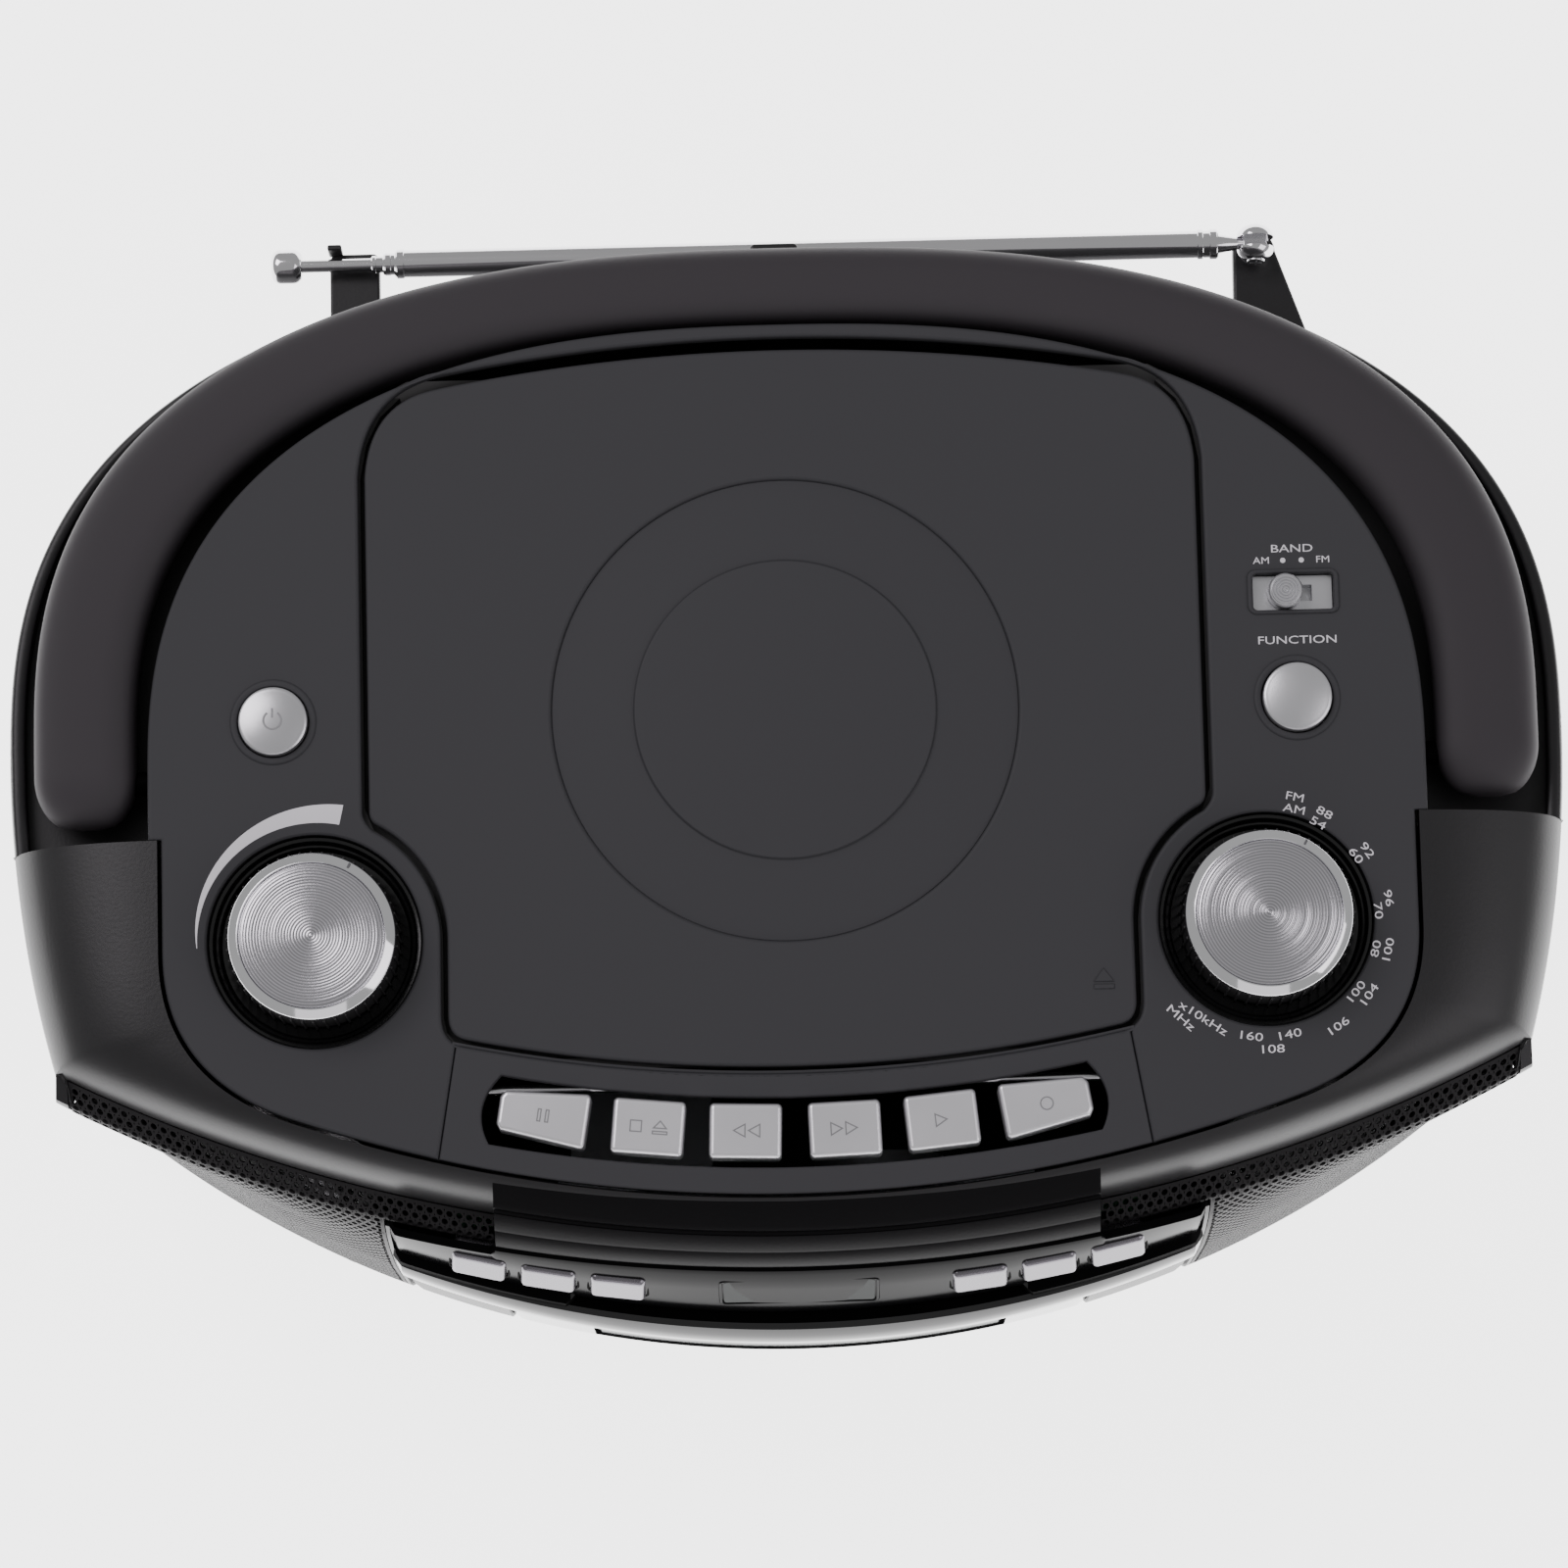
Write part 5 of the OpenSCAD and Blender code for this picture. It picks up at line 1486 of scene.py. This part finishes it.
@dataclass
class KeyRow(Kit):
    """The six tape keys on their arc."""
    centre_y: float = 233.0
    arc: float = 310.2
    depth: float = 11.2
    rise: float = 2.5
    keys: tuple = (("pause_key", -9.45, 18.3), ("stop_eject_key", -5.5, 14.7), ("rewind_key", -1.86, 14.7),
                   ("fast_forward_key", 1.86, 14.7), ("play_key", 5.5, 14.7), ("record_key", 9.45, 18.3))

    def set_on_arc(self, loop: Array, degrees: float) -> Array:
        """Moves a loop drawn about a key's own middle to its place on the arc."""
        a = math.radians(degrees)
        return (loop - [0, self.arc]) @ turn_matrix(a) + [0, self.centre_y]

    def opening(self, grow: float) -> Array:
        """Long opening that follows the arc, with round ends.

        It is wider at the front, where the keys' upper edges go when they tip.
        """
        _, last_turn, last_width = self.keys[-1]
        half = math.radians(last_turn) + (last_width / 2 + grow) / self.arc
        a = np.linspace(-half, half, 60)
        outer = self.arc + self.depth / 2 + 2 * grow
        inner = self.arc - self.depth / 2 - grow - 0.6
        low = np.stack([outer * np.sin(a), self.centre_y - outer * np.cos(a)], -1)
        high = np.stack([inner * np.sin(a), self.centre_y - inner * np.cos(a)], -1)[::-1]
        right = bezier(low[-1], low[-1] + (high[0] - low[-1]) * 0.5 + [5.2, 0.6], high[0], 14)[:-1]
        left = bezier(high[-1], high[-1] + (low[0] - high[-1]) * 0.5 + [-5.2, 0.6], low[0], 14)[:-1]
        return np.concatenate([low, right, high, left])

    def outline(self, width: float, end: int) -> Array:
        """A key from above: small corners, and one round end on the outer keys."""
        loop = rounded_box(width, self.depth, 1.0)
        if end:
            bulge = np.clip((loop[:, 0] * end - (width / 2 - 5.0)) / 5.0, 0, 1)
            loop[:, 1] *= 1 - 0.45 * bulge ** 2.2
        return resample(loop, 1.5)

    def build(self) -> None:
        """Makes every key with its symbol."""
        for node, turn, width in self.keys:
            end = {"pause_key": -1, "record_key": 1}.get(node, 0)
            loop = self.set_on_arc(self.outline(width, end), turn)
            top = plate(f"{node}_cap", [loop], self.rise, -4.6, 1.1, steps=5, wide=0.8)
            self.put(top, node, KEY, node)
            marks = []
            # Each symbol is a raised outline in darker silver: painted shade along the edges of an embossed
            # symbol.
            for shape in self.symbol(node):
                line = [self.set_on_arc(loop, turn) for loop in (shape, offset_loop(shape, 0.26))]
                marks.append(plate("mark", line, self.rise + 0.08, self.rise - 0.2, 0.03, steps=1))
            self.put(joined(f"{node}_mark", marks), node, SYMBOL_AND_EDGE_SHADE)

    def symbol(self, node: str) -> list[Array]:
        """Outlines of a key's symbol about its middle."""
        arrow = np.array([[1.5, 1.5], [-1.2, 0.0], [1.5, -1.5]])
        bar = rounded_box(0.85, 2.7, 0.1)
        square = rounded_box(2.5, 2.5, 0.1)
        roof, sill = np.array([[0.8, -0.3], [4.0, -0.3], [2.4, 1.5]]), rounded_box(3.2, 0.8, 0.1)
        shapes = {"pause_key": [bar + [-0.8, 0], bar + [0.8, 0]],
                  "stop_eject_key": [square + [-2.5, 0], roof, sill + [2.4, -1.1]],
                  "rewind_key": [arrow + [-1.5, 0], arrow + [1.5, 0]],
                  "fast_forward_key": [-arrow + [-1.5, 0], -arrow + [1.5, 0]],
                  "play_key": [-arrow],
                  "record_key": [circle((0, 0), 1.4, 32)]}
        return shapes[node]


# ---------------------------------------------------------------- front
@dataclass
class FrontPod(Kit):
    """The glossy lens under the brow: sloping face with a window and six buttons, groove and lip."""
    half: float = 83.3
    station_z: float = 113.4
    tilt: float = 16.0
    face_apex: float = -106.6
    face_radius: float = 290.0

    def profile(self) -> Array:
        """Apex and height pairs down the middle section, from the face's top edge to the lip's foot."""
        return np.array([[-103.0, 124.3], [-104.2, 123.9], [-104.9, 122.6], [-107.0, 115.0],
                         [-109.3, 106.4], [-109.9, 104.4], [-110.0, 103.6], [-109.6, 103.0],
                         [-106.8, 102.4], [-106.8, 101.4], [-112.3, 101.2], [-113.6, 100.8],
                         [-114.8, 99.4], [-115.6, 97.0], [-115.8, 94.6], [-115.2, 92.2],
                         [-113.8, 90.4], [-111.5, 89.9]])

    def build(self) -> None:
        """Carries the profile across on front arcs that flatten towards the top.

        The columns stand at half(0.02 sin(pi u / 2) + 0.98 u), a little closer together at the ends.
        """
        profile = self.profile()
        u = np.linspace(-1, 1, 161)
        gather = 0.02
        x = self.half * (gather * np.sin(u * math.pi / 2) + (1 - gather) * u)
        apex, height = profile[:, :1], profile[:, 1:]
        radius = np.interp(height, [90, 98, 104, 124], [218, 218, 248, 340])
        y = arc_y(x + 0 * apex, apex, radius)
        ends = np.clip((np.abs(x) - (self.half - 1.6)) / 1.6, 0, 1)
        y = y + (1 - np.sqrt(1 - ends ** 2)) * 1.6
        groove_top, groove_low = 103.2, 101.3
        groove = (height < groove_top) & (height > groove_low)
        shallow = np.clip((np.abs(x) - 46) / 2.0, 0, 1) * 2.6
        y = y + np.where(groove, -shallow, 0)
        z = np.where(np.abs(x) > 61.9, np.minimum(height, 121.3), height + 0 * x)
        grid = np.stack([x + 0 * apex, y, z], -1)
        start, end = (int(np.argmax(profile[:, 1] < level)) for level in (groove_top, groove_low))
        # The groove between the face and the lip wears the near-black finish: painted shade in the groove.
        for name, rows, finish, nodes in (("pod_face", grid[:start + 1], LENS, ("control_panel",)),
                                          ("pod_recess", grid[start:end + 1], GAP_SHADE_BLACK, ()),
                                          ("pod_lip", grid[end:], GLOSS, ())):
            obj = piece(name, rows, grid_quads(*rows.shape[:2]), 26, outward=False)
            face_forward(obj)
            self.put(thicken(obj, 1.8, 26), "cabinet", finish, *nodes)
        self.buttons()
        self.window()

    def on_face(self, points: Array, x: float) -> Array:
        """Places points drawn on the sloping face, with z out of it, about the station x."""
        lean, turn = math.radians(90 - self.tilt), math.asin(x / self.face_radius)
        px, py, pz = np.moveaxis(np.asarray(points, float), -1, 0)
        y1 = py * math.cos(lean) - pz * math.sin(lean)
        z1 = py * math.sin(lean) + pz * math.cos(lean)
        c, s = math.cos(turn), math.sin(turn)
        y0 = float(arc_y(np.array(x), self.face_apex, self.face_radius))
        return np.stack([px * c - y1 * s + x, px * s + y1 * c + y0, z1 + self.station_z], -1)

    def buttons(self) -> None:
        """Six silver buttons, in a darker copy of the silver that paints their shade, with bright rounded
        edges in near-black frames that paint the shade of the gaps round them.
        """
        spots = [(side, where, x) for side in ("left", "right")
                 for where, x in (("outer", 65.3), ("middle", 51.2), ("inner", 37.0))]
        loop = resample(rounded_box(11.4, 9.5, 1.3), 1.2)
        frame_loops = [rounded_box(12.9, 11.0, 1.9), rounded_box(11.8, 9.9, 1.5)]
        for side, where, x in spots:
            node = f"button_{side}_{where}"
            place = partial(self.on_face, x=-x if side == "left" else x)
            cap = plate(f"{node}_cap", [loop], 2.1, -3.0, 1.2, place, steps=6)
            self.put(cap, node, SILVER_FRONT_SHADED, node)
            # The frame fills the gap round the button with near-black: painted shade in the gap.
            self.put(plate(f"{node}_frame", frame_loops, 0.75, -1.2, 0.3, place), "cabinet", GAP_SHADE_BLACK)

    def window(self) -> None:
        """Display window in its frame."""
        place = partial(self.on_face, x=0.0)
        pane = plate("window_pane", [rounded_box(31.2, 10.8, 0.8)], 0.55, -0.6, 0.25, place)
        self.put(pane, "cabinet", SMOKE, "display_window")
        loops = [rounded_box(33.0, 12.4, 1.4), rounded_box(31.4, 11.0, 0.8)]
        self.put(plate("window_frame", loops, 0.7, -1.0, 0.3, place), "cabinet", LENS)


@dataclass
class TapeDoor(Kit):
    """The cassette door under the pod and the panel round it."""
    form: CabinetForm
    half: float = 61.4
    low: float = 27.3
    high: float = 86.9
    frame_half: float = 83.4
    frame_low: float = 16.2
    frame_high: float = 89.8
    window: tuple = (44.0, 42.0, 74.0)

    def patch(self, name: str, half: float, z0: float, z1: float, lift: float = 0.0,
              hole: tuple | None = None) -> bpy.types.Object:
        """A rectangle of the cabinet's front with a soft edge.

        Args:
            name: the piece's name.
            half: half width.
            z0: lower edge.
            z1: upper edge.
            lift: how far it stands forward.
            hole: half width, lower and upper edge of an opening.

        Returns:
            A sheet facing the front.
        """
        stops = [-half, half] + ([-hole[0], hole[0]] if hole else [])
        x = np.unique(np.concatenate([np.linspace(-half, half, 81), stops]))
        levels = [z0, z1] + ([hole[1], hole[2]] if hole else [])
        z = np.unique(np.concatenate([np.linspace(z0, z1, 33), levels]))
        gx, gz = np.meshgrid(x, z)
        grid = self.form.front(gx, gz)
        near = np.minimum(half - np.abs(gx), np.minimum(gz - z0, z1 - gz))
        grid[..., 1] += 0.8 * np.clip(1 - near / 1.2, 0, 1) ** 2 - lift
        faces = grid_quads(*gx.shape)
        if hole:
            mid = grid.reshape(-1, 3)[faces].mean(1)
            inside = (np.abs(mid[:, 0]) < hole[0]) & (mid[:, 2] > hole[1]) & (mid[:, 2] < hole[2])
            faces = faces[~inside]
        obj = piece(name, grid, faces, 30, outward=False)
        face_forward(obj)
        return obj

    def build(self) -> None:
        """Makes the door with its window and the panel."""
        panel = self.patch("door_panel", self.frame_half, self.frame_low, self.frame_high,
                           hole=(self.half + 0.6, self.low - 3.4, self.frame_high + 1))
        self.put(thicken(panel, 2.2, 30), "cabinet", CASE, "door_surround")
        door = self.patch("door_skin", self.half, self.low, self.high, hole=self.window)
        self.put(thicken(door, 2.4, 30), "cassette_door", GLOSS, "cassette_door")
        half, low, high = self.window
        pane = self.patch("door_window", half - 0.3, low + 0.2, high - 0.2, lift=-0.5)
        self.put(thicken(pane, 1.2, 30), "cassette_door", SMOKE)


# ---------------------------------------------------------------- rear and inside
@dataclass
class Antenna(Kit):
    """The telescopic antenna folded along the back, with its ball joint."""
    ball: float = 4.1
    inner_start: float = 150.0

    def pivot(self) -> Array:
        """The ball's middle: the screw's middle."""
        return centre_of("antenna_screw")

    def along(self, points: Array) -> Array:
        """Lays a lathe's axis along -X from the pivot."""
        p = self.pivot()
        x, y, z = np.moveaxis(points, -1, 0)
        return np.stack([p[0] - z, p[1] + y, p[2] + x], -1)

    def across(self, points: Array, side: int) -> Array:
        """Lays a lathe's axis along Y from the pivot, to the rear (side 1) or the front (side -1)."""
        p = self.pivot()
        x, y, z = np.moveaxis(points, -1, 0)
        return np.stack([p[0] + x, p[1] + side * z, p[2] + y], -1)

    def tube(self, name: str, body: str, radius: float, start: float, stop: float,
             rings: Sequence[tuple] = ()) -> None:
        """One tube along -X, from start to stop, with raised rings.

        Args:
            name: the piece's name.
            body: the body it rides on and the node it stands for.
            radius: the tube's radius.
            start: distance of its near end from the pivot.
            stop: distance of its far end.
            rings: place, length and radius of each ring.
        """
        profile = [(0.0, start), (radius, start)]
        for place, length, r in rings:
            far = place + length
            profile += [(radius, place), (r - 0.1, place), (r, place + 0.12), (r, far - 0.12),
                        (r - 0.1, far), (radius, far)]
        profile += [(radius, stop - 0.3), (radius - 0.25, stop), (0.0, stop)]
        self.put(lathe(name, profile, (0, 0, 0), self.along, 40, 30), body, CHROME, body)

    def build(self) -> None:
        """Makes the four stages, the neck, the tip's knob, the ball and the screw."""
        self.tube("antenna_stage_1", "antenna_tube_1", 2.9, 8.0, 183.2,
                  [(8.2, 1.6, 3.25), (11.2, 1.2, 3.2), (181.2, 1.6, 3.15)])
        neck = lathe("antenna_neck", rounded_profile([
            (0, 2.2), (1.0, 2.4, 0.4), (1.5, 5.0, 0.8), (2.2, 8.6, 0.4), (0, 8.6)]),
            (0, 0, 0), self.along, 40, 30)
        self.put(neck, "antenna_tube_1", CHROME)
        self.tube("antenna_stage_2", "antenna_tube_2", 2.3, self.inner_start, 185.7, [(184.0, 1.3, 2.42)])
        self.tube("antenna_stage_3", "antenna_tube_3", 1.75, self.inner_start, 188.2, [(187.2, 0.9, 1.85)])
        self.tube("antenna_rod", "antenna_tip", 1.35, self.inner_start, 204.0)
        knob = lathe("antenna_knob", rounded_profile([
            (0, 203.0), (2.6, 203.0, 0.4), (3.65, 204.2, 0.8), (3.65, 208.4, 1.0), (2.6, 209.4, 0.6),
            (0, 209.4)]), (0, 0, 0), self.along, 48, 30)
        self.put(knob, "antenna_tip", CHROME)
        self.ball_joint()
        self.screw()

    def ball_joint(self) -> None:
        """The slotted ball on its stem: each cheek is the part of a sphere outside the slot."""
        slot_half = 1.15
        reach = math.sqrt(self.ball ** 2 - slot_half ** 2)
        dome = [(reach * math.cos(a), slot_half + (self.ball - slot_half) * math.sin(a))
                for a in np.linspace(0, math.pi / 2, 14)]
        cheeks = [lathe("cheek", [(0, slot_half), *dome], (0, 0, 0), partial(self.across, side=side), 48)
                  for side in (-1, 1)]
        stem = lathe("stem", rounded_profile([
            (0, -9), (3.4, -9, 0.3), (3.4, -5.4, 0.4), (2.4, -4.6, 0.4), (3.0, -2.9, 0.3), (0, -2.9)]),
            self.pivot(), unchanged, 48)
        self.put(joined("antenna_ball", [*cheeks, stem]), "antenna_swivel", CHROME, "antenna_swivel")

    def screw(self) -> None:
        """The cross-head screw through the ball, with its cross as a dark raised mark: painted shade."""
        place = partial(self.across, side=-1)
        head = lathe("head", rounded_profile([
            (0, self.ball - 0.5), (1.9, self.ball - 0.5), (1.9, self.ball + 0.1, 0.3),
            (0, self.ball + 0.25)]), (0, 0, 0), place, 36)
        self.put(head, "antenna_swivel", PIN, "antenna_screw")
        # The cross is two dark bars on the head: painted shade where the real cross is sunk.
        cross_shade_bars = [plate("bar", [rounded_box(wide, deep, 0.1, 3)], self.ball + 0.3, self.ball, 0.03, place,
                      steps=1) for wide, deep in ((2.6, 0.4), (0.4, 2.6))]
        self.put(joined("antenna_screw_cross_shade", cross_shade_bars), "antenna_swivel", SHADE)


@dataclass
class RearParts(Kit):
    """Battery door and mains inlet on the back."""
    form: CabinetForm

    def build(self) -> None:
        """Makes the battery door with its grip and dresses the inlet."""
        low, high = box_mm("battery_door")
        z = np.linspace(low[2] + 0.3, high[2] - 0.3, 25)[:, None]
        limit = high[0] - 0.4
        x = np.linspace(limit, -limit, 91)
        inset = self.form.at(z)[0]
        a, b = self.form.half_width - inset, self.form.rear_depth - inset
        y = self.form.wide_y + b * (1 - (np.abs(x) / a) ** 2.5) ** (1 / 2.5)
        near = np.minimum(limit - np.abs(x), np.minimum(z - z[0], z[-1] - z))
        y = y - 0.8 * np.clip(1 - near / 1.2, 0, 1) ** 2
        ribs = (np.abs(x) < 16) & (z > high[2] - 9) & (z < high[2] - 2)
        y = y - np.where(ribs, 0.5 + 0.4 * np.sin(z * 3.2), 0)
        grid = np.stack([x + 0 * z, y, z + 0 * x], -1)
        obj = piece("battery_cover", grid, grid_quads(*grid.shape[:2]), 30, outward=False)
        self.put(thicken(obj, 2.0, 30), "battery_door", CASE, "battery_door")
        self.dress(SOCKET, "ac_inlet")


@dataclass
class Insides(Kit):
    """Finishes of the CAD parts that show only through openings."""

    def build(self) -> None:
        """Dresses every node that no other class replaces."""
        self.dress(TRAY, "cd_tray", "battery_box", "cassette_holder", "volume_pot")
        self.dress(PIN, "lid_hinge_pins", "key_shaft", "case_screws",
                   "battery_contacts", "speaker_baskets", "transformer")
        self.dress(GAP_SHADE_BLACK, "pivot_pins")
        self.dress(BOARD, "display_module", "main_board")
        self.dress(CREAM, "tuning_capacitor")
        self.dress(PAPER, "speaker_cones")
        self.dress(HUB, "disc_hub")
        self.dress(CONTROL, "tape_mechanism", "cd_mechanism")


# ---------------------------------------------------------------- studio
@dataclass
class Studio:
    """Camera, pale floor and soft lights."""
    target: tuple = (-0.0006, -0.006, 0.138)
    distance: float = 1.3
    tilt: float = 11.0
    roll: float = 1.4
    focal: float = 6500.0
    frame_width: float = 1600.0

    def build(self) -> None:
        """Sets up the whole studio."""
        self.camera()
        self.floor()
        self.lights()

    def camera(self) -> None:
        """Looks down at the deck, leaning towards the front by the tilt."""
        data = bpy.data.cameras.new("camera")
        data.sensor_width = 36.0
        data.lens = 36.0 * self.focal / self.frame_width
        data.clip_end = 20.0
        cam = bpy.data.objects.new("camera", data)
        bpy.context.scene.collection.objects.link(cam)
        tilt = math.radians(self.tilt)
        eye = Vector(self.target) + self.distance * Vector((0, -math.sin(tilt), math.cos(tilt)))
        cam.location = eye
        turn = (Vector(self.target) - eye).to_track_quat("-Z", "Y").to_matrix().to_4x4()
        cam.rotation_euler = (turn @ Matrix.Rotation(math.radians(-self.roll), 4, "Z")).to_euler()
        bpy.context.scene.camera = cam

    def floor(self) -> None:
        """A pale sheet that the player stands on."""
        half = 3000.0
        obj = piece("floor", [[-half, -half, 0], [half, -half, 0], [half, half, 0], [-half, half, 0]],
                    [[0, 1, 2, 3]], outward=False)
        mat = bpy.data.materials.new("studio_floor")
        mat.use_nodes = True
        shader = mat.node_tree.nodes["Principled BSDF"]
        shader.inputs["Base Color"].default_value = (0.95, 0.95, 0.95, 1)
        shader.inputs["Emission Color"].default_value = (1, 1, 1, 1)
        shader.inputs["Emission Strength"].default_value = 3.4
        shader.inputs["Roughness"].default_value = 0.9
        obj.data.materials.append(mat)

    def lights(self) -> None:
        """Soft boxes round the player and an even pale surround."""
        world = bpy.data.worlds.new("studio")
        world.use_nodes = True
        world.node_tree.nodes["Background"].inputs["Color"].default_value = (1, 1, 1, 1)
        world.node_tree.nodes["Background"].inputs["Strength"].default_value = 0.4
        bpy.context.scene.world = world
        lamps = (("key", (-0.9, 0.6, 1.5), 1.0, 14.0), ("fill", (1.2, -0.5, 1.3), 1.2, 8.0),
                 ("front", (0.0, -1.9, 0.9), 1.4, 4.0))
        middle = Vector((0, 0, 0.1))
        for name, place, size, power in lamps:
            data = bpy.data.lights.new(name, "AREA")
            data.size = size
            data.energy = power
            data.color = (1.0, 0.95, 1.0)
            lamp = bpy.data.objects.new(name, data)
            bpy.context.scene.collection.objects.link(lamp)
            lamp.location = place
            lamp.rotation_euler = (middle - Vector(place)).to_track_quat("-Z", "Y").to_euler()


def main() -> None:
    """Builds the studio and every sub-assembly in order."""
    logging.basicConfig(level=logging.INFO, format="%(message)s")
    form, trench = CabinetForm(), Trench()
    Studio().build()
    parts = (Cabinet(form, trench), Grille(-1, form), Grille(1, form), Handle(), Deck(), DiscLid(),
             Knob("volume", SPUN_LEFT), Knob("tuning", SPUN_RIGHT), DeckSwitches(), KeyRow(),
             FrontPod(), TapeDoor(form), Antenna(), RearParts(form), Insides())
    for part in parts:
        part.build()


if __name__ == "__main__":
    main()
